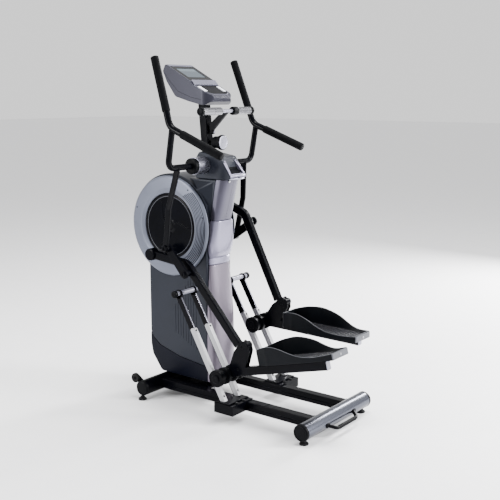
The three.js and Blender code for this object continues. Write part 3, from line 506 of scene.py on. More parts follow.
GLOSS_BLACK = finish("gloss_black_paint", "black_paint", (0.0009, 0.001, 0.002), rough=(0.2, 0.26),
                     specular=0.045, grain=420.0, depth=0.00003, strength=0.25, contrast=0.25)
BLACK_PLASTIC = finish("moulded_black_plastic", "black_plastic", (0.0012, 0.0014, 0.0022), rough=(0.38, 0.46),
                       specular=0.05, grain=1500.0, strength=0.4, contrast=0.2)
SKIRT = finish("skirt_plastic", "black_plastic", (0.0014, 0.002, 0.006), rough=(0.34, 0.4), specular=0.07,
               grain=1300.0)
DISC_BLACK = finish("disc_gloss", "black_plastic", (0.0008, 0.001, 0.0022), rough=(0.12, 0.18), specular=0.06,
                    grain=300.0, depth=0.00002, contrast=0.3)
SLATE = finish("slate_shell_plastic", "slate_plastic", (0.0095, 0.0115, 0.018), metallic=0.2,
               rough=(0.36, 0.41), specular=0.16, grain=1400.0, contrast=0.08, strength=0.3)
SILVER = finish("silver_ring_paint", "silver_plastic", (0.105, 0.115, 0.15), metallic=0.45, rough=(0.36, 0.4),
                specular=0.35, grain=1600.0, contrast=0.06, strength=0.3)
LILAC = finish("lilac_silver_paint", "silver_plastic", (0.22, 0.21, 0.29), metallic=0.6, rough=(0.29, 0.32),
               specular=0.4, grain=1600.0, contrast=0.05, strength=0.25)
# A darker copy of the lilac silver paint for the upper column: painted shade, as that panel leans away from the
# light.
SHADED_LILAC = finish("shaded_lilac_paint", "silver_plastic", (0.06, 0.057, 0.08), metallic=0.6, rough=(0.29, 0.33),
               specular=0.35, grain=1600.0, contrast=0.05, strength=0.25)
COLUMN_PAINT = finish("column_silver_paint", "silver_plastic", (0.15, 0.13, 0.165), metallic=0.6,
                      rough=(0.32, 0.35), specular=0.4, grain=1600.0, contrast=0.05, strength=0.15)
TRIM = finish("silver_trim", "silver_plastic", (0.27, 0.27, 0.33), metallic=0.6, rough=(0.27, 0.33),
              grain=1100.0, contrast=0.06)
RAIL_ALLOY = finish("rail_aluminium", "aluminium", (0.33, 0.33, 0.345), metallic=0.45, rough=(0.36, 0.4),
                    grain=500.0, specular=0.3, contrast=0.06)
ALLOY = finish("satin_aluminium", "aluminium", (0.17, 0.17, 0.185), metallic=1.0, rough=(0.24, 0.28),
               grain=500.0, stretch=(1, 0.12, 0.12), contrast=0.06, strength=0.4)
CHROME = finish("brushed_chrome", "chrome_tube", (0.075, 0.08, 0.1), metallic=1.0, rough=(0.24, 0.28),
                grain=420.0, stretch=(0.06, 1, 1), contrast=0.08, strength=0.35)
HUB_SILVER = finish("hub_silver", "aluminium", (0.24, 0.24, 0.29), metallic=0.9, rough=(0.24, 0.3),
                    grain=500.0, stretch=(0.1, 1, 1), contrast=0.06)
STEEL = finish("zinc_steel", "steel", (0.40, 0.40, 0.42), metallic=1.0, rough=(0.24, 0.4), grain=700.0,
               cloud=60.0)
RUBBER = finish("black_rubber", "rubber", (0.004, 0.004, 0.005), rough=(0.55, 0.75), specular=0.15,
                grain=900.0, depth=0.0001, contrast=0.3, strength=0.5)
PEDAL_PLASTIC = finish("pedal_plastic", "pedal_plastic", (0.0012, 0.0018, 0.003), rough=(0.36, 0.44),
                       specular=0.07, grain=1100.0, depth=0.00008, strength=0.5, contrast=0.2)
SOLE = finish("sole_rubber", "pedal_plastic", (0.006, 0.0065, 0.009), rough=(0.3, 0.4), specular=0.3,
              grain=700.0, depth=0.00012, strength=0.6, contrast=0.25)
RIM_GREY = finish("rim_grey", "pedal_plastic", (0.07, 0.073, 0.085), rough=(0.4, 0.5), specular=0.3,
                  grain=900.0)
CONSOLE = finish("console_plastic", "console_plastic", (0.022, 0.022, 0.033), metallic=0.25,
                 rough=(0.36, 0.42), specular=0.2, grain=1500.0, contrast=0.06)
CONSOLE_LIGHT = finish("console_trim", "console_plastic", (0.1, 0.1, 0.135), metallic=0.3, rough=(0.32, 0.38),
                       grain=1500.0, contrast=0.06)
BEZEL = finish("bezel_gloss", "display_glass", (0.0015, 0.0015, 0.0025), rough=(0.16, 0.22), specular=0.08,
               grain=500.0, depth=0.00001)
KEYPAD = finish("keypad_plastic", "key_panel", (0.002, 0.002, 0.003), rough=(0.4, 0.48), specular=0.07,
                grain=1500.0)
KEYS = finish("key_caps", "key_silver", (0.72, 0.73, 0.78), rough=(0.3, 0.42), grain=900.0, contrast=0.04)
FOAM = foam("black_foam", "foam", (0.0013, 0.0014, 0.002))
LCD = lcd("lcd_panel", "display_glass")


def slab(r, high, low=0):
    """Profile of a plain disc between two distances."""
    return [(0, low), (r, low), (r, high), (0, high)]


def screw(at, direction, r, height):
    """A round screw head with a hexagon socket, standing on a surface."""
    profile = [(0, 0), (r, 0), (r, height * 0.6), (r - 0.35 * height, height), (0, height)]
    axis = Vector(direction).normalized()
    hole = lathe(slab(r * 0.5, height), Vector(at) + axis * height * 0.45, axis, 6)
    return cut(lathe(profile, at, direction, 24), hole)


# ---------- base ----------
def cross_tube(y):
    return rod(y, BASE["z"], BASE["r"], -BASE["half"], BASE["half"], 1, 96)


def end_cap(y):
    """A domed cap with a raised rim and a recessed face."""
    r = BASE["r"] + 0.4
    deep = BASE["cap"] - BASE["half"]
    profile = [(0, -12), (r - 5, -12), (r - 5, 0.6), (r, 0.6), (r, deep - 6), (r - 1.5, deep - 2.5),
               (r - 5, deep - 0.6), (r - 8, deep), (r - 9.5, deep - 1.6), (r - 16, deep - 1.2),
               (0, deep - 0.6)]
    return lathe(profile, (BASE["half"], y, BASE["z"]), RIGHT, 72)


def levelling_foot(x, y, top):
    """A ribbed pad under a threaded stem with its lock nut."""
    pad = [(0, 0), (18.5, 0), (21, 1.2), (21, 6), (19, 8.6), (12, 9), (9, 9.4), (0, 9.4)]
    stem = [(0, 9)]
    for k in range(int((top - 10) / 2.0)):
        stem += [(7, 9.6 + 2.0 * k), (6.2, 10.6 + 2.0 * k)]
    stem.append((0, top))
    ground = (x, y, 0)
    nut = lathe(slab(11.5, 18.5, 12), ground, UPWARD, 6)
    return gathered(lathe(pad, ground, UPWARD, 48), lathe(stem, ground, UPWARD, 24), soften(nut, 0.8))


def front_ear():
    plate = prism(capsule((BASE["front"] + 28, BASE["z"] + 22, 16), (*WHEEL, 11)), 240, 250, 1.2)
    return gathered(plate, rod(*WHEEL, 5, 248, 273.5, 0.5, 24), rod(*WHEEL, 8, 271.6, 274.6, 1, 24))


piece("front_tube", cross_tube(BASE["front"]), GLOSS_BLACK, stands_for=("front_cross_tube",))
both("wheel_ear", front_ear, GLOSS_BLACK)
both("front_cap", lambda: end_cap(BASE["front"]), BLACK_PLASTIC, node="front_end_cap")
both("front_foot", lambda: levelling_foot(266.5, BASE["front"], 28), RUBBER)

WHEEL_PROFILE = [(5.5, 0), (9, 0), (9.5, 1), (16, 2), (17, 0.4), (21.5, 0.4), (23.5, 1.8), (24, 4), (24, 14),
                 (23.5, 16.2), (21.5, 17.6), (17, 17.6), (16, 16), (9.5, 17), (9, 18), (5.5, 18), (5.5, 0)]
both("wheel", lambda: lathe(WHEEL_PROFILE, (253, *WHEEL), RIGHT), RUBBER, "{side}_wheel", "transport_wheel")

piece("rear_tube", cross_tube(BASE["rear"]), CHROME, stands_for=("rear_cross_tube",))
both("rear_cap", lambda: end_cap(BASE["rear"]), BLACK_PLASTIC, node="rear_end_cap")
both("rear_levelling_foot", lambda: levelling_foot(243, BASE["rear"], 30), RUBBER, node="rear_foot")


def carry_loop():
    """Bail behind the rear tube, with a ribbed middle and a saddle at each end."""
    y = BASE["rear"] - BASE["r"]
    z = BASE["z"] - 4
    corners = [(-112, y + 6, z), (-84, y - 32, z - 14), (84, y - 32, z - 14), (112, y + 6, z)]
    saddles = [oblong(s * 112 - 11, s * 112 + 11, y - 5, y + 12, z - 10, z + 10, 2.5) for s in (-1, 1)]
    ribs = [(0, -67)]
    for k in range(27):
        ribs += [(8.9, -66 + 5 * k), (9.6, -64.5 + 5 * k), (9.6, -62.5 + 5 * k), (8.9, -61.2 + 5 * k)]
    ribs.append((0, 69))
    return gathered(tube(corners, 8, 26, 24), lathe(ribs, (0, y - 32, z - 14), RIGHT, 32), *saddles)


piece("carry_bail", carry_loop(), BLACK_PLASTIC, stands_for=("carry_handle",))


def base_beam():
    """Extruded rail with a groove along each side, saddled over the cross tubes."""
    x0, x1, z0, z1, groove = BEAM.values()
    outline = [(x0, z0 + 2), (x0 + 2, z0), (x1 - 2, z0), (x1, z0 + 2), (x1, groove - 2),
               (x1 - 2.5, groove - 1), (x1 - 2.5, groove + 1), (x1, groove + 2), (x1, z1 - 2), (x1 - 2, z1),
               (x0 + 2, z1), (x0, z1 - 2), (x0, groove + 2), (x0 + 2.5, groove + 1), (x0 + 2.5, groove - 1),
               (x0, groove - 2)]
    front, rear = BASE["front"], BASE["rear"]
    beam = loft([[(x, y, z) for x, z in outline] for y in (rear, front)])
    beam = soften(beam, 0.7, angle=20)
    hollow = [rod(y, BASE["z"], BASE["r"] + 0.4, 100, 170, 0.1, 96) for y in (front, rear)]
    return cut(beam, *hollow)


def weld(y, toward):
    """Bead of weld round the end of a rail."""
    z = BEAM["z1"] + 3
    reach = math.sqrt((BASE["r"] + 3) ** 2 - (z - BASE["z"]) ** 2)
    path = []
    for k in range(25):
        x = BEAM["x0"] + (BEAM["x1"] - BEAM["x0"]) * k / 24
        path.append(Vector((x, y + toward * reach, z - 2.6 + 0.35 * math.sin(k * 2.1))))
    return sweep(circle(0, 0, 2.2, 12), path, UPWARD)


def bracket():
    box = oblong(137, 267, -236, -126, 43, 86, 1.6)
    lid = oblong(112.5, 267, -236, -126, 84, 90, 1.2)
    return gathered(box, lid)


def bracket_bolts():
    places = [(x, y) for x in (165, 217) for y in (-222, -204)]
    heads = [soften(lathe(slab(7.5, 5), (x, y, 90.2), UPWARD, 6), 0.7) for x, y in places]
    washers = [lathe(slab(9.5, 1.2), (x, y, 90), UPWARD, 28) for x, y in places]
    return gathered(*heads, *washers)


both("rail_beam", base_beam, GLOSS_BLACK, node="base_rail")
both("rail_bracket", bracket, GLOSS_BLACK)
both("rail_welds", lambda: gathered(weld(BASE["front"], -1), weld(BASE["rear"], 1)), GLOSS_BLACK)
both("bracket_bolts", bracket_bolts, RUBBER)


# ---------- inclined rails ----------
UP = Vector((0, math.cos(SLOPE["angle"]), math.sin(SLOPE["angle"])))
OUT = Vector((0, -math.sin(SLOPE["angle"]), math.cos(SLOPE["angle"])))
FOOT_OF_SLOPE = Vector((0, SLOPE["y"], SLOPE["z"]))
TIE_UP = (Vector((0, *TIE)) - FOOT_OF_SLOPE).dot(UP)
TIE_OUT = (Vector((0, *TIE)) - FOOT_OF_SLOPE).dot(OUT)


def on_slope(x, t, w):
    """Point t up the slope and w square to it, rearwards."""
    point = FOOT_OF_SLOPE + UP * t + OUT * w
    return Vector((x, point.y, point.z))


def slope_prism(outline, x0, x1, width=0.0):
    solid = loft([[on_slope(x, t, w) for t, w in outline] for x in (x0, x1)])
    return soften(solid, width) if width else solid


def strut():
    """Two flat legs under the rails, tied by a top plate and standing on a shoe."""
    legs = []
    for x in RAIL_X:
        for outline in (rectangle(-6, TIE_UP - 10, -34, -4.5), circle(TIE_UP - 3, TIE_OUT - 5, 22, 48)):
            legs.append(slope_prism(outline, x - LEG_HALF, x + LEG_HALF, 1.2))
    shoe = oblong(118, 262, -214, -132, 90.5, 96, 1.2)
    return gathered(*legs, shoe)


def strut_bridge():
    return slope_prism(rounded(rectangle(TIE_UP + 1, TIE_UP + 13, -16, -6), 2, 3), RAIL_X[0] - 4,
                       RAIL_X[1] + 4, 0.8)


def leg_highlight_strips():
    """Light silver strips on the rear of each leg, above the rails: painted highlight along the legs' lit rear
    edges.
    """
    start = SLOPE["length"] + SLOPE["end"] - 2
    edge = rectangle(start, TIE_UP - 10, -5.5, -3.6)
    return gathered(*[slope_prism(edge, x - 2, x + 4.4, 0.5) for x in RAIL_X])


def slide_rail(x):
    """Aluminium extrusion over a leg, with a rounded head at each end."""
    low, high = -SLOPE["end"] + 1, SLOPE["length"] + SLOPE["end"]
    side = rounded([(low, -26), (high, -26), (high, 0), (low, 0)], [0.5, 9, 12, 0.5], 8)
    cover = slope_prism(side, x - RAIL_HALF, x + RAIL_HALF, 1.8)
    slot = slope_prism(rectangle(low - 20, high - 20, -60, -4.3), x - 6, x + 6)
    floor = oblong(x - 30, x + 30, -300, 0, 0, 96.5)
    return cut(cover, slot, floor)


def rail_screws(x):
    return gathered(*[screw(on_slope(x + 1, t, -0.4), OUT, 5.2, 1.8) for t in (14, SLOPE["length"] - 4)])


both("strut", strut, GLOSS_BLACK, node="strut_frame")
both("strut_bridge", strut_bridge, GLOSS_BLACK)
# Silver strips on the legs' rear edges stand for the light they catch: painted highlight.
both("leg_highlight_strips", leg_highlight_strips, HUB_SILVER)
for rail, rail_x in zip(("inner", "outer"), RAIL_X):
    both(f"{rail}_rail", lambda x=rail_x: slide_rail(x), RAIL_ALLOY, node=f"slide_rail_{rail}")
    both(f"{rail}_rail_screws", lambda x=rail_x: rail_screws(x), GLOSS_BLACK)

piece("tie_axle", rod(*TIE, 12, -270, 270, 1), TRIM, stands_for=("frame_axle",))


def tie_cap():
    profile = [(0, 0), (17, 0), (17, 11), (15.6, 14.4), (12, 16), (7, 16), (6, 14.8), (0, 14.8)]
    return lathe(profile, (268, *TIE), RIGHT, 48)


both("tie_cap", tie_cap, BLACK_PLASTIC)

# ---------- tower ----------
LEG = [(439, 300), (439, 700), (289, 859), (61, 859), (61, 176), (238, 198), (374, 236), (418, 268)]
NECK = [(232, 1097), (26, 1097), (60, 904), (63, 785), (320, 785)]
SKIRT_OUTLINE = [(367, 101), (428, 182), (439, 236), (439, 299), (418, 266.5), (374, 234.5), (238, 196.5),
                 (61, 174.5), (61, 101)]
FACET_BASE = [(232, 1097), (30, 1097), (64, 880), (200, 790), (330, 900)]
FACET_TOP = [(206, 1088), (117, 1044), (84, 880), (200, 800), (300, 900)]


def offset(outline, distance):
    """Outline moved inwards."""
    area = sum(a[0] * b[1] - b[0] * a[1] for a, b in zip(outline, outline[1:] + outline[:1]))
    inward = math.copysign(distance, area)
    result = []
    for i, point in enumerate(outline):
        here = Vector(point)
        u = (here - Vector(outline[i - 1])).normalized()
        v = (Vector(outline[(i + 1) % len(outline)]) - here).normalized()
        nu = Vector((-u.y, u.x))
        nv = Vector((-v.y, v.x))
        bend = max(0.2, 1 + nu.dot(nv))
        result.append(tuple(here + (nu + nv) * (inward / bend)))
    return result


def tower_side():
    """One moulded half: a crank drum on a leg, with a folded neck up to the hub."""
    x0 = TOWER["split"]
    half = TOWER["half"]
    wall = TOWER["wall"]
    leg = prism(rounded(LEG, [20, 30, 0, 0, 4, 40, 40, 20]), x0, half, 9, 4)
    r = TOWER["disc"]
    profile = [(0, 0), (r, 0), (r, half - 10), (r - 1, half - 6), (r - 4, half - 2.4), (r - 9, half), (0, half)]
    drum = cut(lathe(profile, (x0, *CRANK), RIGHT, 128), oblong(-10, 200, -60, 61, 500, 1200))
    neck = prism(NECK, x0, TOWER["neck"], 5, 3)
    facet = loft([[(TOWER["neck"] - 8, y, z) for y, z in FACET_BASE],
                  [(half - 1, y, z) for y, z in FACET_TOP]])
    body = join(leg, drum, neck, soften(facet, 5, 15, 3))
    inside = x0 - 9
    hollow = join(prism(offset(LEG, wall), inside, half - wall),
                  prism(circle(*CRANK, r - wall, 96), inside, half - wall),
                  prism(offset(NECK, wall), inside, TOWER["neck"] - wall))
    hollow = cut(hollow, oblong(-20, 300, -200, 61 + wall, 0, 1300))
    shafts = [rod(*CRANK, 15, 50, 120, 0.5), rod(*TIE, 12.5, 50, 120, 0.1)]
    seam = oblong(-5, x0, -200, 700, 0, 1300)
    vents = []
    for k in range(VENTS["count"]):
        y = VENTS["first"] + VENTS["pitch"] * k
        high = VENTS["high"] - abs(k - 2) * 26
        vents.append(oblong(half - 1.8, half + 5, y, y + 2.6, VENTS["low"] + 9 * k, high))
    post = oblong(-26, 26, 74, 126, 0, 1300)
    return cut(body, hollow, post, *shafts, seam, *vents)


both("tower_side", tower_side, SLATE, node="tower_shell", smooth=28)


def skirt():
    half = TOWER["half"]
    body = prism(rounded(SKIRT_OUTLINE, [30, 40, 10, 2, 20, 40, 40, 2, 4]), -half, half, 7, 4)
    hollow = prism(offset(SKIRT_OUTLINE, 4), -half + 4, half - 4)
    openings = [oblong(-half + 7, half - 7, 65, 360, 90, 120),
                prism([(65, 150), (380, 160), (430, 330), (65, 330)], -half + 7, half - 7)]
    return cut(body, join(hollow, *openings))


piece("skirt", skirt(), SKIRT, stands_for=("lower_skirt",))


def ring_profile():
    """Section of the ring cover: stepped outer lip, sloping face and a deep inner lip."""
    inner, outer = RING["inner"], RING["outer"]
    deep = RING["face"] - RING["back"]
    return [(inner + 1, 0), (outer, 0), (outer, deep - 11), (outer - 1.5, deep - 8.5), (outer - 5, deep - 5),
            (outer - 11, deep - 3), (outer - 14, deep - 2.2), (inner + 30, deep - 0.4), (inner + 22, deep),
            (inner + 18, deep - 0.6), (inner + 4, deep - 6), (inner + 1, deep - 8), (inner, deep - 10),
            (inner, 2), (inner + 1, 0)]


def ring_slots(wide, above, below):
    """Concentric vent slots on the rear part of the ring, as bars from above to below its face."""
    slots = []
    for k in range(7):
        radius = RING["inner"] + 20 + 8.4 * k
        first = math.radians(122 + 1.5 * k)
        last = math.radians(238 - 1.5 * k)
        drop = 0.4 + 0.044 * max(0.0, radius - RING["inner"] - 30)
        points = []
        for i in range(41):
            angle = first + (last - first) * i / 40
            points.append(Vector((RING["face"] - drop, CRANK[0] + radius * math.cos(angle),
                                  CRANK[1] + radius * math.sin(angle))))
        slots.append(sweep([(-below, -wide), (above, -wide), (above, wide), (-below, wide)], points, RIGHT))
    return slots


def ring():
    return cut(lathe(ring_profile(), (RING["back"], *CRANK), RIGHT, 160), *ring_slots(2.3, 4.6, 4.6))


def ring_screws():
    heads = []
    for degrees in (125, 20, 250, 310, 165):
        angle = math.radians(degrees)
        r = RING["outer"] - 22
        at = (RING["face"] - 2.6, CRANK[0] + r * math.cos(angle), CRANK[1] + r * math.sin(angle))
        heads.append(screw(at, RIGHT, 4, 1.6))
    return gathered(*heads)


def ring_lip():
    """Bright bead round the inner opening."""
    inner = RING["inner"]
    profile = [(inner - 0.6, 5), (inner + 1.2, 5), (inner + 1.8, 7), (inner + 0.8, 9), (inner - 0.6, 9.4),
               (inner - 0.6, 5)]
    return lathe(profile, (RING["back"], *CRANK), RIGHT, 160)


def ring_shadow():
    """Dark band round the ring's outer edge, against the tower: painted shade where the ring meets the tower.
    """
    outer = RING["outer"]
    profile = [(outer - 12, -0.4), (outer + 2.5, -0.4), (outer + 2.5, 2.4), (outer - 12, 2.4),
               (outer - 12, -0.4)]
    return lathe(profile, (RING["back"], *CRANK), RIGHT, 128)


both("ring", ring, SILVER, node="ring_cover", smooth=25)
# Black bars set down in the ring's vent slots: painted shade in the grooves.
both("ring_slot_shade", lambda: gathered(*ring_slots(2, -1.6, 3.6)), BLACK_PLASTIC)
both("ring_screws", ring_screws, GLOSS_BLACK)
both("ring_lip", ring_lip, RIM_GREY)
# Dark band behind the ring's rim: painted shade.
both("ring_shade_band", ring_shadow, BLACK_PLASTIC)


def crank_disc():
    """Glossy disc with a stepped rim."""
    r = DISC["r"]
    profile = [(12.6, 0), (r, 0), (r, 5.4), (r - 1, 7.4), (r - 3, 8.5), (r - 6, 8.5), (r - 8, 7.2),
               (r - 11, 6.6), (r - 26, 6.4), (44, 5.2), (40, 4.6), (34, 4.6), (30, 6.2), (12.6, 6.2),
               (12.6, 0)]
    return lathe(profile, (DISC["x"], *CRANK), RIGHT, 128)


def crank_swirls():
    """Three raised blades that curve from the hub to the rim."""
    width = 7
    section = [(-1.4, -width), (1.4, -width + 2), (1.4, width - 2), (-1.4, width)]
    blades = []
    for k in range(3):
        start = math.radians(CRANK_TURN - 56.5 + 120 * k)
        path = []
        for i in range(21):
            s = i / 20
            radius = 32 + 112 * s
            angle = start + 0.75 * math.sin(s * 1.9) - 0.4
            path.append(Vector((99.6, CRANK[0] + radius * math.cos(angle),
                                CRANK[1] + radius * math.sin(angle))))
        blades.append(soften(sweep(section, path, RIGHT), 0.6))
    return gathered(*blades)


def crank_trim():
    r = DISC["r"] - 12
    profile = [(r - 2.5, 6), (r, 6), (r, 7.6), (r - 0.6, 8.2), (r - 1.9, 8.2), (r - 2.5, 7.6), (r - 2.5, 6)]
    return lathe(profile, (DISC["x"], *CRANK), RIGHT, 128)


def crank_nut():
    return lathe([(0, 0), (22, 0), (22, 3.4), (19, 5.4), (0, 5.8)], (95.8, *CRANK), RIGHT, 48)


both("crank_plate", crank_disc, DISC_BLACK, "crank", "crank_disc")
both("crank_swirls", crank_swirls, DISC_BLACK, "crank")
both("crank_trim", crank_trim, RIM_GREY, "crank")
both("crank_cap", crank_nut, BLACK_PLASTIC, "crank")

# Rear column: height, half width, front edge, back edge, boxiness.
COLUMN = [(102, 91, 60, 14, 0.75), (260, 91, 60, 12, 0.75), (400, 90, 60, 13, 0.75), (506, 86, 60, 22, 0.75),
          (600, 80, 60, 32, 0.72), (683, 75, 60, 40, 0.7)]
BULGE = [(722, 73, 60, 38, 0.68), (745, 79, 60, 26, 0.62), (785, 83, 60, 18, 0.56), (827, 79, 60, 14, 0.52),
         (870, 72, 59, 12, 0.5), (899, 66, 58, 12, 0.5)]
UPPER = [(899.5, 63, 57, 18, 0.5), (950, 61.5, 49, 4, 0.5), (1000, 60.5, 41, -9, 0.53),
         (1048, 60, 33, -22, 0.55), (1097, 58, 24, -38, 0.6)]


def column_ring(level):
    """Half loop round the back of the column, squarer as its power gets smaller."""
    z, half, front, back, power = level
    count = 48
    points = []
    for i in range(count + 1):
        t = math.pi + math.pi * i / count
        c = math.cos(t)
        x = math.copysign(abs(c) ** power, c) * half
        y = front - abs(math.sin(t)) ** power * (front - back)
        points.append((x, y, z))
    return points


def curve(s, before, a, b, after):
    """Smooth value between a and b, where s runs from 0 to 1."""
    bend = 2 * before - 5 * a + 4 * b - after
    twist = 3 * a - before - 3 * b + after
    return 0.5 * ((2 * a) + (b - before) * s + bend * s ** 2 + twist * s ** 3)


def smooth_levels(levels, steps=6):
    """More levels between the given ones, on a smooth curve."""
    result = []
    for i in range(len(levels) - 1):
        before = levels[max(i - 1, 0)]
        a, b = levels[i], levels[i + 1]
        after = levels[min(i + 2, len(levels) - 1)]
        for k in range(steps):
            s = k / steps
            result.append(tuple(curve(s, *values) for values in zip(before, a, b, after)))
    result.append(levels[-1])
    return result


def column_part(levels, width=1.2):
    solid = loft([column_ring(level) for level in smooth_levels(levels)])
    return soften(solid, width, 75)


def column_hollow(solid):
    """A shell open at the front."""
    return cut(solid, oblong(-46, 46, 43.5, 90, 60, 1150))


def upper_seam():
    """Stitch-like slots down the middle of the upper panel."""
    levels = smooth_levels(UPPER, 8)
    slots = []
    for (z0, _, _, back0, _), (z1, _, _, back1, _) in list(zip(levels, levels[1:]))[1::2]:
        path = [Vector((0, back0, z0)), Vector((0, back1, z1))]
        slots.append(sweep(rectangle(-1.1, 1.1, -2, 2), path, RIGHT))
    return gathered(*slots)


BAND = [(684, 73, 60, 42, 0.7), (690, 77, 60, 37.5, 0.7), (716, 76, 60, 36, 0.7), (721, 72, 60, 40, 0.7)]
piece("lower_column", column_hollow(column_part(COLUMN)), COLUMN_PAINT, stands_for=("rear_column",))
piece("column_band", column_hollow(loft([column_ring(level) for level in BAND])), LILAC)
piece("column_bulge", column_hollow(column_part(BULGE, 2)), LILAC)
# The upper column takes the darker copy of the lilac paint: painted shade.
piece("upper_column", cut(column_part(UPPER), upper_seam(), oblong(-46, 46, 42, 90, 60, 1150)), SHADED_LILAC)

# ---------- head ----------
piece("hub_tube", rod(*HUB, HUB_R, -134.5, 134.5, 1.5, 72), HUB_SILVER, stands_for=("handle_hub",))

HEAD = rounded([(150, 1099), (156, 1190), (128, 1228), (0, 1206), (-64, 1116), (-52, 1099)],
               [6, 18, 16, 10, 6, 4])
TRAY = [(6, 1250), (-24, 1146), (-56, 1126), (-96, 1086), (-96, 1250)]


def head():
    body = prism(HEAD, -TOWER["neck"], TOWER["neck"], 5, 4)
    tray = prism(rounded(TRAY, [0, 14, 8, 0, 0]), -46, 46)
    return cut(body, tray, rod(*HUB, HUB_R + 0.5, -80, 80, 0.1, 72), oblong(-23, 23, 96, 152, 1195, 1240))


def head_frame():
    """Light frame round the tray, on the sloping rear face; its opening widens downwards."""
    face = [(2, 1207), (-66, 1117), (-55, 1105), (12, 1196)]
    plate = prism(rounded(face, [3, 5, 3, 3], 4), -57, 57, 1.6)
    top, bottom = Vector((-7, 1196)), Vector((-57, 1128))
    run = (bottom - top).normalized()
    through = Vector((run.y, -run.x)) * 40
    rings = []
    for at, half in ((top, 33), (bottom, 46)):
        low, high = at - through, at + through
        rings.append([(-half, *low), (half, *low), (half, *high), (-half, *high)])
    return cut(plate, loft(rings))


def lip(y, z, reach, half, r):
    """A bar that bows rearwards under the tray."""
    path = []
    for k in range(25):
        s = 2 * k / 24 - 1
        path.append(Vector((s * half, y - reach * (1 - s * s), z)))
    section = rounded(rectangle(-r * 1.5, r * 1.5, -r, r), r * 0.7, 4)
    return soften(sweep(section, path, AHEAD), 0.5)


piece("head_shell", head(), SLATE, stands_for=("head_cover",))
piece("head_frame", head_frame(), LILAC)
piece("tray_lip_upper", lip(-58, 1120, 11, 52, 2.6), TRIM)
piece("tray_lip_lower", lip(-50, 1105, 15, 56, 3.4), TRIM)
LINER = rounded([(1, 1205), (-25, 1148), (-55, 1128), (-52, 1124), (-21, 1143), (5, 1202)], 1.4, 3)
piece("tray_liner", prism(LINER, -45, 45, 0.5), BLACK_PLASTIC)
piece("head_screw", screw((-36, -38, 1092), (0, -1, -0.3), 6, 3), STEEL)


# ---------- mast ----------
def mast_section(half, y, z):
    return [(x, y + v, z) for x, v in rounded(rectangle(-half, half, -half, half), 5, 5)]


def mast():
    rise = MAST["top"] - MAST["z"]
    body = loft([mast_section(MAST["half"], MAST["y"] + MAST["lean"] * k * rise / 8, MAST["z"] + k * rise / 8)
                 for k in range(9)])
    return cut(body, rod(*HUB, HUB_R + 0.6, -40, 40, 0.1))


def mast_collar():
    rise = 1236 - MAST["z"]
    y = MAST["y"] + MAST["lean"] * rise
    outer = rounded(rectangle(-27, 27, y - 27, y + 27), 7, 5)
    return upright(outer, 1229, 1240, 2)


def pop_bolt():
    return lathe([(0, 0), (9, 0), (10, 2), (10, 13), (8, 18), (0, 19)], (0, 100, 1318), (0, -1, 0.05), 32)


piece("mast_tube", mast(), GLOSS_BLACK, stands_for=("mast",))
piece("mast_collar", mast_collar(), BLACK_PLASTIC)
piece("brace_bolt", pop_bolt(), BLACK_PLASTIC)
# A small silver screw head on the black bolt, standing for its glint: painted highlight.
piece("brace_bolt_glint", screw((0, 81.5, 1318.9), (0, -1, 0.05), 5.5, 1.6), TRIM)


def knob_grip():
    """Fluted hand wheel on a threaded stem."""
    profile = [(0, 0.6), (32, 0.6), (34.6, 1.6), (35.8, 4), (36, 8), (36, 14), (34, 18), (30.5, 21),
               (29, 30), (28.5, 48), (25, 56), (22, 58), (6.3, 58), (6.3, 96), (0, 96)]
    body = lathe(profile, (0, 26, KNOB_Z), AHEAD, 96)
    reach = 38.6
    flutes = []
    for k in range(12):
        angle = 2 * math.pi * k / 12
        at = (reach * math.cos(angle), 24, KNOB_Z + reach * math.sin(angle))
        flutes.append(lathe([(0, 0), (4.4, 0), (4.4, 20), (0, 22)], at, AHEAD, 20))
    return soften(cut(body, *flutes), 0.6, 50)


def knob_face():
    profile = [(0, 0), (6, 0), (7, 0.8), (24, 0.5), (25.5, -0.4), (30, -0.4), (31.6, 0.4), (32, 1.6),
               (32, 3), (0, 3)]
    return lathe(profile, (0, 24.4, KNOB_Z), AHEAD, 96)


piece("knob_grip", knob_grip(), BLACK_PLASTIC, "knob", ("adjust_knob",))
piece("knob_face", knob_face(), TRIM, "knob")


# ---------- grip bar ----------
def bar_part(profile, steps=48, sign=1):
    return lathe(profile, (0, BAR["y"], BAR["z"]), (sign, 0, 0), steps)


def grip_core():
    half = BAR["half"]
    return rod(BAR["y"], BAR["z"], 8.5, -half + 12, half - 12, 1, 40)


def grip_sleeve(start, seam, sign):
    """Silver hand sensor with a joint round it."""
    profile = [(0, start), (14, start), (17, start + 2.5), (17.5, start + 4), (17.5, seam - 1.4),
               (16.4, seam - 0.8), (16.4, seam + 0.8), (17.5, seam + 1.4), (17.5, 172), (16.4, 174), (0, 174)]
    return bar_part(profile, sign=sign)


def sleeve_ring():
    return bar_part([(0, 38), (15, 38), (19, 40), (20, 43), (20, 70), (19, 74.6), (16, 77), (0, 77)])


def grip_end():
    half = BAR["half"]
    return bar_part([(0, half - 23), (16, half - 23), (18.6, half - 20), (20, half - 15), (20.3, half - 9),
                     (19, half - 4), (15, half - 0.6), (9, half), (0, half)])


def brace():
    """Flat arm from the bar forwards and down to the mast."""
    web = [(0, 1425), (0, 1409), (98, 1316), (107.5, 1316), (111.5, 1352), (16, 1428)]
    return prism(rounded(web, [8, 8, 2, 2, 2, 8], 5), -8, 8, 2, 3)


piece("grip_core", grip_core(), TRIM, stands_for=("grip_bar",))
piece("grip_sleeve_left", grip_sleeve(42, 100, -1), ALLOY)
piece("grip_sleeve_right", grip_sleeve(77, 128, 1), ALLOY)
both("grip_end", grip_end, BLACK_PLASTIC)
piece("grip_ring", sleeve_ring(), BLACK_PLASTIC)
piece("grip_brace", brace(), GLOSS_BLACK)

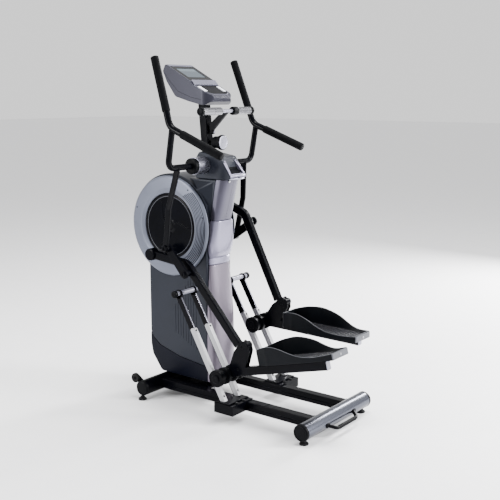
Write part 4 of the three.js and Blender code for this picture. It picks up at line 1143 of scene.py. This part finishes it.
# ---------- console ----------
CONSOLE_SIDE = [(308, 1640), (324, 1606), (300, 1556), (246, 1486), (160, 1463), (98, 1450), (66, 1446),
                (38, 1462), (28, 1480), (36, 1492), (136, 1541), (149, 1557)]
KEY_EDGE = (CONSOLE_SIDE[9], CONSOLE_SIDE[10])
VIEW_EDGE = (CONSOLE_SIDE[11], CONSOLE_SIDE[0])


def on_panel(edge, x, s, h):
    """Point on a sloping face: s along its edge from the low end, h above it."""
    (y0, z0), (y1, z1) = edge
    run = Vector((y1 - y0, z1 - z0)).normalized()
    return Vector((x, y0 + run.x * s - run.y * h, z0 + run.y * s + run.x * h))


def panel(edge, outline, low, high, width=0.0):
    """An outline in (x, s) raised from one height to another over a sloping face."""
    solid = loft([[on_panel(edge, x, s, h) for x, s in outline] for h in (low, high)])
    return soften(solid, width) if width else solid


def console_plan():
    """Seen from above: square shoulders at the display, a round nose at the keys."""
    return rounded(rectangle(-CONSOLE_HALF, CONSOLE_HALF, 23, 330), [62, 62, 14, 14], 14)


def keypad_outline(grow=0.0):
    half = 85.4 + grow
    return rounded(rectangle(-half, half, 10.6 - grow, 103.4 + grow), [47.4 + grow, 47.4 + grow, 6, 6], 12)


def console_shell():
    radii = [10, 10, 20, 30, 30, 20, 16, 12, 6, 3, 4, 3]
    body = prism(rounded(CONSOLE_SIDE, radii, 6), -CONSOLE_HALF, CONSOLE_HALF, 5, 4)
    body = common(body, upright(console_plan(), 1400, 1700))
    keypad = panel(KEY_EDGE, keypad_outline(1.4), -4, 12)
    window = panel(VIEW_EDGE, rounded(rectangle(-86.4, 86.4, 4.6, 153.4), 6, 4), -3.5, 12)
    return soften(cut(body, keypad, window), 0.9, 40)


def console_seam():
    """Dark joint between the upper and lower halves of the housing."""
    middle = [(310, 1598), (286, 1566), (226, 1510), (150, 1484), (86, 1472)]
    path = [Vector((CONSOLE_HALF - 0.1, y, z)) for y, z in middle]
    return sweep(circle(0, 0, 0.7, 8), path, RIGHT)


def keypad_rim():
    return soften(cut(panel(KEY_EDGE, keypad_outline(4), -2, 1.4),
                      panel(KEY_EDGE, keypad_outline(0.5), -9, 9)), 0.5, 40)


def key_plate():
    plate = panel(KEY_EDGE, keypad_outline(), -5, -0.6, 0.6)
    slots = [panel(KEY_EDGE, rounded(rectangle(s * 69 - 11.5, s * 69 + 11.5, 40.5, 92.5), 3, 3), -20, 10)
             for s in (-1, 1)]
    return cut(plate, *slots)


def key_strip():
    """One rocker with three raised pads."""
    strip = panel(KEY_EDGE, rounded(rectangle(58.2, 79.8, 41.2, 91.8), 3, 4), -4.5, 1.2, 0.7)
    pads = [panel(KEY_EDGE, rounded(rectangle(60.2, 77.8, s, s + 14.4), 3.5, 4), 0.6, 2.4, 0.6)
            for s in (43, 59.3, 75.6)]
    return gathered(strip, *pads)


def bezel():
    outer = rounded(rectangle(-85.8, 85.8, 5.2, 152.8), 6, 5)
    frame_plate = panel(VIEW_EDGE, outer, -3.2, -0.4, 0.8)
    return cut(frame_plate, panel(VIEW_EDGE, rounded(rectangle(-62, 66, 43, 133), 3, 4), -1.8, 9))


piece("console_shell", console_shell(), CONSOLE, stands_for=("console_housing",))
both("console_seam", console_seam, BLACK_PLASTIC)
piece("keypad_rim", keypad_rim(), CONSOLE_LIGHT)
piece("key_plate", key_plate(), KEYPAD, stands_for=("key_panel",))

both("key_strip", key_strip, KEYS, "{side}_key", "key_rocker")
piece("bezel", bezel(), BEZEL, stands_for=("display",))
piece("lcd", panel(VIEW_EDGE, rounded(rectangle(-61.6, 65.6, 43.4, 132.6), 2.6, 4), -1.7, -1.2, 0.1), LCD)
piece("console_top_trim", panel(VIEW_EDGE, rounded(rectangle(-86, 86, 156, 173), 4, 4), -1.5, 0.9, 0.7),
      CONSOLE_LIGHT)
LEDGE = rounded([(131, 1539), (151, 1561), (147, 1564), (127, 1542)], 1.5, 3)
piece("console_ledge", prism(LEDGE, -84, 86, 0.8), CONSOLE_LIGHT)


# ---------- carriages ----------
def roller(x0, x1, track):
    """Grooved roller that straddles its rail."""
    a = track - GROOVE - x0
    b = track + GROOVE - x0
    r = ROLLER_R
    long = x1 - x0
    face = [(13, 1), (r - 9, 1), (r - 8, 2.4), (r - 6, 2.4), (r - 5, 0.6), (r - 1.6, 0.6), (r, 2.2),
            (r, a - 3.4), (r - 0.6, a - 2.4), (27.5, a)]
    back = [(27.5, b), (r - 0.6, b + 2.4), (r, b + 3.4), (r, long - 2.2), (r - 1.6, long - 0.6),
            (r - 5, long - 0.6), (r - 6, long - 2.4), (r - 8, long - 2.4), (r - 9, long - 1), (13, long - 1),
            (13, 1)]
    return lathe(face + back, (x0, *CARRIAGE), RIGHT, 80)


def roller_axle():
    return rod(*CARRIAGE, 12, 108, 284, 0.6)


def axle_caps():
    """Domed dust caps on both ends of the axle; the outer one has a dimple."""
    rim = [(0, 0), (20, 0), (20, 2.6), (18, 5)]
    outer = lathe(rim + [(9, 5.8), (8, 5), (0, 5)], (282.4, *CARRIAGE), RIGHT, 56)
    inner = lathe(rim + [(0, 5.6)], (109.6, *CARRIAGE), -RIGHT, 56)
    return gathered(outer, inner)


both("carriage_axle", roller_axle, STEEL, "{side}_carriage", "roller_axle")
both("axle_caps", axle_caps, BLACK_PLASTIC, "{side}_carriage")
both("inner_roller", lambda: roller(110, 173, RAIL_X[0]), BLACK_PLASTIC, "{side}_inner_roller",
     "roller_inner")
both("outer_roller", lambda: roller(209, 282, RAIL_X[1]), BLACK_PLASTIC, "{side}_outer_roller",
     "roller_outer")

# ---------- pedal arms ----------
TREAD_BACK = Vector((0, -math.cos(TREAD_SLOPE), math.sin(TREAD_SLOPE)))
TREAD_UP = Vector((0, math.sin(TREAD_SLOPE), math.cos(TREAD_SLOPE)))
ARM = {"x0": 176, "x1": 206, "half": 19, "bend": (94, 704), "low": (-216, 362)}
ARM_MIDDLE = (ARM["x0"] + ARM["x1"]) / 2


def on_tread(x, s, h):
    """Point s behind the carriage axle along the footplate, and h above it."""
    point = Vector((0, *CARRIAGE)) + TREAD_BACK * s + TREAD_UP * h
    return Vector((x, point.y, point.z))


def along_tread(section, start, end):
    """A section in (x, h) carried along the footplate."""
    return loft([[on_tread(x, s, h) for x, h in section] for s in (start, end)])


def over_tread(outline, low, high):
    """An outline in (x, s) round the footplate's middle, raised from one height to another."""
    return loft([[on_tread(PEDAL["x"] + x, s, h) for x, s in outline] for h in (low, high)])


def arm_bar():
    """Rectangular tube, bent once, from the crank pin to the footplate."""
    wide = (ARM["x1"] - ARM["x0"]) / 2
    corners = [(ARM_MIDDLE, *place) for place in (PIN, ARM["bend"], ARM["low"])]
    section = rounded(rectangle(-wide, wide, -ARM["half"], ARM["half"]), 4.5, 5)
    return sweep(section, bent_path(corners, 46, 14), RIGHT)


def arm_boss():
    profile = [(0, 0), (24, 0), (24, 3), (29, 3), (30, 4), (30, 40), (28.5, 43), (25, 44), (23, 42.6),
               (0, 42.6)]
    return lathe(profile, (172, *PIN), RIGHT, 72)


def arm_gusset():
    outline = rounded([(-118, 190), (-158, 222), (-196, 332), (-240, 392), (-276, 380), (-286, 350),
                       (-262, 262), (-222, 218)], 10, 6)
    plates = [prism(outline, x, x + 6, 1.4) for x in (ARM["x0"] - 1.5, ARM["x1"] - 4.5)]
    return plates + [prism(offset(outline, 6), ARM["x0"], ARM["x1"])]


def arm_eye():
    return rod(*CARRIAGE, 27, ARM["x0"] - 2, ARM["x1"] + 2, 2, 64)


def arm_foot():
    """Square tube under the footplate."""
    section = rounded(rectangle(ARM["x0"] - 1.5, ARM["x1"] + 1.5, -11, 29.5), 4, 5)
    return along_tread(section, 8, 570)


def arm_frame():
    bore = rod(*CARRIAGE, 13, 150, 240, 0.1)
    solid = join(arm_bar(), arm_boss(), *arm_gusset(), arm_eye(), arm_foot(), rod(*BOLT, 15, 200, 232.6, 1.5))
    return cut(solid, bore)


def arm_plug():
    section = rounded(rectangle(ARM["x0"] + 0.5, ARM["x1"] - 0.5, -9, 27.5), 4, 5)
    return soften(along_tread(section, 560, 573.5), 1.6, 50)


def gusset_bolts():
    outside, inside = ARM["x1"] + 1.4, ARM["x0"] - 1.4
    return gathered(screw((outside, -246, 362), RIGHT, 9, 4), screw((inside, -246, 362), -RIGHT, 9, 4),
                    screw((outside, -222, 250), RIGHT, 6, 3))


def hinge_boss():
    """Round pivot housing behind the lower end of the bar."""
    profile = [(0, -20), (15, -20), (17, -18), (17, 18), (15, 20), (0, 20)]
    return lathe(profile, (ARM_MIDDLE, -262, 372), RIGHT, 48)


both("arm_frame", arm_frame, GLOSS_BLACK, "{side}_pedal", "pedal_arm")
both("crank_pin", lambda: rod(*PIN, 16, 102.6, 172, 1.5), STEEL, "{side}_pedal")
both("arm_plug", arm_plug, TRIM, "{side}_pedal")
both("gusset_bolts", gusset_bolts, BLACK_PLASTIC, "{side}_pedal")
both("hinge_boss", hinge_boss, GLOSS_BLACK, "{side}_pedal")

# ---------- footplates ----------
RIM_LOW = [(185, 97), (215, 105), (240, 111), (272, 115.5), (312, 111), (352, 97.5), (402, 75.5), (452, 60),
           (505, 54), (560, 55.5), (617, 61)]
RIM_HIGH = [(185, 97), (215, 105.5), (240, 113), (270, 119), (330, 125.5), (365, 123), (405, 114.5),
            (445, 101), (480, 83), (515, 67), (552, 58.5), (617, 61)]


def rim_height(s, rim):
    """Height of the footplate's rim: high round the toes, low at the heel."""
    for i, (end, height) in enumerate(rim[1:], 1):
        if s <= end or i == len(rim) - 1:
            start, before = rim[i - 1]
            step = end - start
            u = min(1.0, max(0.0, (s - start) / step))
            far_before, far_after = rim[max(i - 2, 0)], rim[min(i + 1, len(rim) - 1)]
            slope0 = step * (height - far_before[1]) / (end - far_before[0])
            slope1 = step * (far_after[1] - before) / (far_after[0] - start)
            return ((2 * u ** 3 - 3 * u ** 2 + 1) * before + (u ** 3 - 2 * u ** 2 + u) * slope0
                    + (3 * u ** 2 - 2 * u ** 3) * height + (u ** 3 - u ** 2) * slope1)


def tread_outline():
    half = PEDAL["half"]
    start, end = PEDAL["start"], PEDAL["end"]
    corners = [(-half * 0.78, start), (half * 0.78, start), (half, start + 70), (half, end - 150),
               (half * 0.87, end), (-half * 0.87, end), (-half, end - 150), (-half, start + 70)]
    dense = []
    loop = rounded(corners, [26, 26, 60, 80, 9, 9, 80, 60], 10)
    for a, b in zip(loop, loop[1:] + loop[:1]):
        pieces = max(1, int((Vector(b) - Vector(a)).length / 7))
        for k in range(pieces):
            dense.append(tuple(Vector(a).lerp(Vector(b), k / pieces)))
    return dense


TREAD = tread_outline()


def tread_ring(inwards, height, high):
    """One loop of the tray: moved inwards, at a fixed height or, from 0 down, at that height over the rim."""
    ring_points = offset(TREAD, inwards)
    loop = []
    for (x, s), (source_x, source_s) in zip(ring_points, TREAD):
        rim = RIM_HIGH if source_x * high > 0 else RIM_LOW
        level = height if height > 1 else rim_height(source_s, rim) + height
        loop.append(on_tread(PEDAL["x"] + x, s, level))
    return loop


def tray(high):
    """Moulded tray; its higher wall is on the side that high points to."""
    base, floor, wall = PEDAL["base"], PEDAL["floor"], PEDAL["wall"]
    levels = [(5, base), (1.5, base + 0.6), (0.2, base + 4), (0, base + 8), (0, -4), (0.8, -1.4), (2.6, 0),
              (wall - 1.2, 0), (wall + 0.4, -1.2), (wall + 1, -4), (wall + 2.6, floor + 6),
              (wall + 4.5, floor + 1.6), (wall + 8, floor)]
    return loft([tread_ring(inwards, height, high) for inwards, height in levels])


def rim_line(high):
    """Thin light piping along the outer edge of the rim."""
    loop = tread_ring(1.2, -0.4, high)
    return loft([[point + RIGHT * a + TREAD_UP * b for a, b in circle(0, 0, 0.9, 8)] for point in loop],
                closed=True)


def sole():
    """Studded rubber insert on the floor of the tray."""
    floor = PEDAL["floor"]
    mat = over_tread(offset(TREAD, PEDAL["wall"] + 10), floor - 1, floor + 1.6)
    studs = []
    for row in range(17):
        s = 258 + 20 * row
        for column in range(5):
            x = (column - 2) * 22 + (5.5 if row % 2 else -5.5)
            if abs(x) > 50:
                continue
            at = on_tread(PEDAL["x"] + x, s, floor + 1.2)
            studs.append(lathe([(0, 0), (6.6, 0), (6.2, 2.2), (4.6, 3.6), (0, 3.6)], at, TREAD_UP, 12))
    ribs = []
    for k in (-1, 1):
        path = [on_tread(PEDAL["x"] + k * (56 - 0.0002 * (s - 400) ** 2), s, floor + 1.6)
                for s in range(260, 581, 20)]
        ribs.append(sweep(circle(0, 0, 1.8, 8), path, RIGHT))
    return gathered(soften(mat, 0.6, 50), *studs, *ribs)


def heel_highlight_plate():
    """Bumper across the rear end, in lighter grey: painted highlight on its lit rear face."""
    half = PEDAL["half"] * 0.87 - 1
    outline = rounded([(-half, 600), (-half + 2, 614), (half - 2, 614), (half, 600)], [2, 6, 6, 2], 4)
    return soften(over_tread(outline, 32, 59), 1.2, 50)


def heel_bolt():
    return screw(on_tread(PEDAL["x"], 613.6, 45), TREAD_BACK, 5, 2)


for pedal_side, pedal_place, high_side in (("left", MIRROR, -1), ("right", PEDAL_RIGHT, 1)):
    piece(f"tray_{pedal_side}", tray(high_side), PEDAL_PLASTIC, f"{pedal_side}_pedal",
          (f"footplate_{pedal_side}",), pedal_place)
    piece(f"tray_piping_{pedal_side}", rim_line(high_side), RIM_GREY, f"{pedal_side}_pedal",
          place=pedal_place)
both("tray_sole", sole, SOLE, "{side}_pedal")
# The heel bumper's lighter grey stands for light on the rear face: painted highlight.
both("heel_highlight_plate", heel_highlight_plate, RIM_GREY, "{side}_pedal")
both("heel_bolt", heel_bolt, STEEL, "{side}_pedal")


# ---------- handles ----------
def handle_tubes():
    riser = tube([(118, *HUB), (309, *HUB), (315, 66, 1336)], 14.5, 38, 40, 14)
    grip = tube([UPPER_TIP, ELBOW, LOWER_TIP], 16, 62, 40, 16)
    return join(riser, grip)


def hub_cap():
    return lathe([(0, 0), (38, 0), (38, 15), (36.4, 18), (33, 19.5), (28, 19.5), (26, 17.6), (17, 17.6),
                  (0, 17)], (135.5, *HUB), RIGHT, 72)


def swing_arm():
    """Flat cranked arm down to the link."""
    levels = [(256, 170, 787, 15), (260, 163, 815, 15), (274, 134, 964, 15), (274, 130, 984, 15),
              (252, 104, 1126, 16), (250, 100, 1160, 16)]
    rings = []
    for x, y, z, half in smooth_levels(levels, 5):
        rings.append([(x + a, y + b, z) for a, b in rounded(rectangle(-6, 6, -half, half), 3, 4)])
    eye = prism(circle(*LINK_TOP, 19, 48), 250, 262, 1.4)
    return cut(join(loft(rings), eye), rod(*LINK_TOP, 11, 240, 275, 0.1))


def foam_grip(tip, towards, long):
    """Foam sleeve with a rounded collar and a plug in its end."""
    tip = Vector(tip)
    axis = (Vector(towards) - tip).normalized()
    start = tip + axis * long
    skin = [(17.2, 0), (18.4, 1.2), (19, 4), (19, long - 2), (18.6, long), (17.4, long + 2.2),
            (15, long + 3.6), (13, long + 4), (12, long + 3.2), (0, long + 3.2)]
    inner = [(0, long + 1), (16.5, long + 0.8), (16.5, 0)]
    return lathe(inner + skin, start, -axis, 56)


def end_plug(tip):
    tip = Vector(tip)
    axis = (tip - Vector(ELBOW)).normalized()
    return lathe([(0, 1.4), (12, 1.4), (12.6, 3.6), (11, 5.2), (0, 5.8)], tip, axis, 48)


both("handle_tubes", handle_tubes, GLOSS_BLACK, "{side}_handle", "handle_frame")
both("swing_arm", swing_arm, GLOSS_BLACK, "{side}_handle")
both("hub_cap", hub_cap, BLACK_PLASTIC, "{side}_handle")
both("upper_foam", lambda: foam_grip(UPPER_TIP, ELBOW, 252), FOAM, "{side}_handle", "upper_grip")
both("lower_foam", lambda: foam_grip(LOWER_TIP, ELBOW, 240), FOAM, "{side}_handle", "lower_grip")
both("grip_plugs", lambda: gathered(end_plug(UPPER_TIP), end_plug(LOWER_TIP)), BLACK_PLASTIC, "{side}_handle")


# ---------- links ----------
def link_plate():
    plate = prism(capsule((*LINK_TOP, 19), (*BOLT, 22)), 234, 246, 1.6)
    return join(plate, rod(*LINK_TOP, 10, 244, 266, 0.6))


def link_caps():
    top = screw((264.5, *LINK_TOP), RIGHT, 15.5, 6.2)
    washer = lathe([(0, 0), (18, 0), (18, 1.6), (17, 2.4), (0, 2.4)], (245.8, *BOLT), RIGHT, 48)
    return gathered(top, washer, screw((248, *BOLT), RIGHT, 12.5, 5.6))


both("link_plate", link_plate, GLOSS_BLACK, "{side}_link", "link")
both("link_caps", link_caps, GLOSS_BLACK, "{side}_link")


# ---------- inner pieces kept from the frame, with their own finish ----------
def dress(node, look):
    thing = frame["nodes"][node]
    thing.data.materials.clear()
    thing.data.materials.append(look[0])


for inner_node, inner_look in (("frame_post", GLOSS_BLACK), ("crank_axle", STEEL), ("flywheel", STEEL),
                               ("drive_belt", RUBBER)):
    dress(inner_node, inner_look)


# ---------- studio ----------
def floor():
    mesh = bpy.data.meshes.new("floor")
    reach = 40
    mesh.from_pydata([(x, y, 0) for x, y in rectangle(-reach, reach, -reach, reach)], [], [(0, 1, 2, 3)])
    thing = bpy.data.objects.new("floor", mesh)
    bpy.context.scene.collection.objects.link(thing)
    paint, _ = finish("floor_white", "rubber", (0.86, 0.86, 0.87), rough=(0.6, 0.7), grain=40.0,
                      contrast=0.01)
    mesh.materials.append(paint)


def softbox(name, at, size, power):
    """A rectangular lamp aimed at the middle of the machine."""
    light = bpy.data.lights.new(name, "AREA")
    light.shape = "RECTANGLE"
    light.size, light.size_y = size
    light.energy = power
    lamp = bpy.data.objects.new(name, light)
    lamp.location = at
    lamp.rotation_euler = (Vector((0, 0, 0.8)) - Vector(at)).to_track_quat("-Z", "Y").to_euler()
    bpy.context.scene.collection.objects.link(lamp)


def studio():
    floor()
    world = bpy.data.worlds.new("studio")
    world.use_nodes = True
    background = world.node_tree.nodes["Background"]
    background.inputs["Color"].default_value = (1.0, 1.0, 1.0, 1)
    background.inputs["Strength"].default_value = 1.2
    bpy.context.scene.world = world
    softbox("rear_box", (2.1, -3.8, 2.3), (1.0, 2.4), 500)
    softbox("right_box", (3.9, -0.3, 1.9), (0.6, 2.6), 400)
    softbox("top_box", (0.2, -0.2, 4.6), (1.6, 1.6), 260)
    softbox("side_box", (-3.4, 2.2, 1.9), (0.5, 2.4), 160)


def camera():
    """Three metres and a bit off the left rear corner, at head height, looking slightly down."""
    lens = bpy.data.cameras.new("camera")
    lens.sensor_width = 36
    lens.lens = 61.96
    eye = bpy.data.objects.new("camera", lens)
    eye.location = (-3.1837, -2.4805, 1.5)
    eye.rotation_euler = (math.radians(90 - 10.31), 0, math.radians(-52.51))
    bpy.context.scene.collection.objects.link(eye)
    bpy.context.scene.camera = eye


studio()
camera()
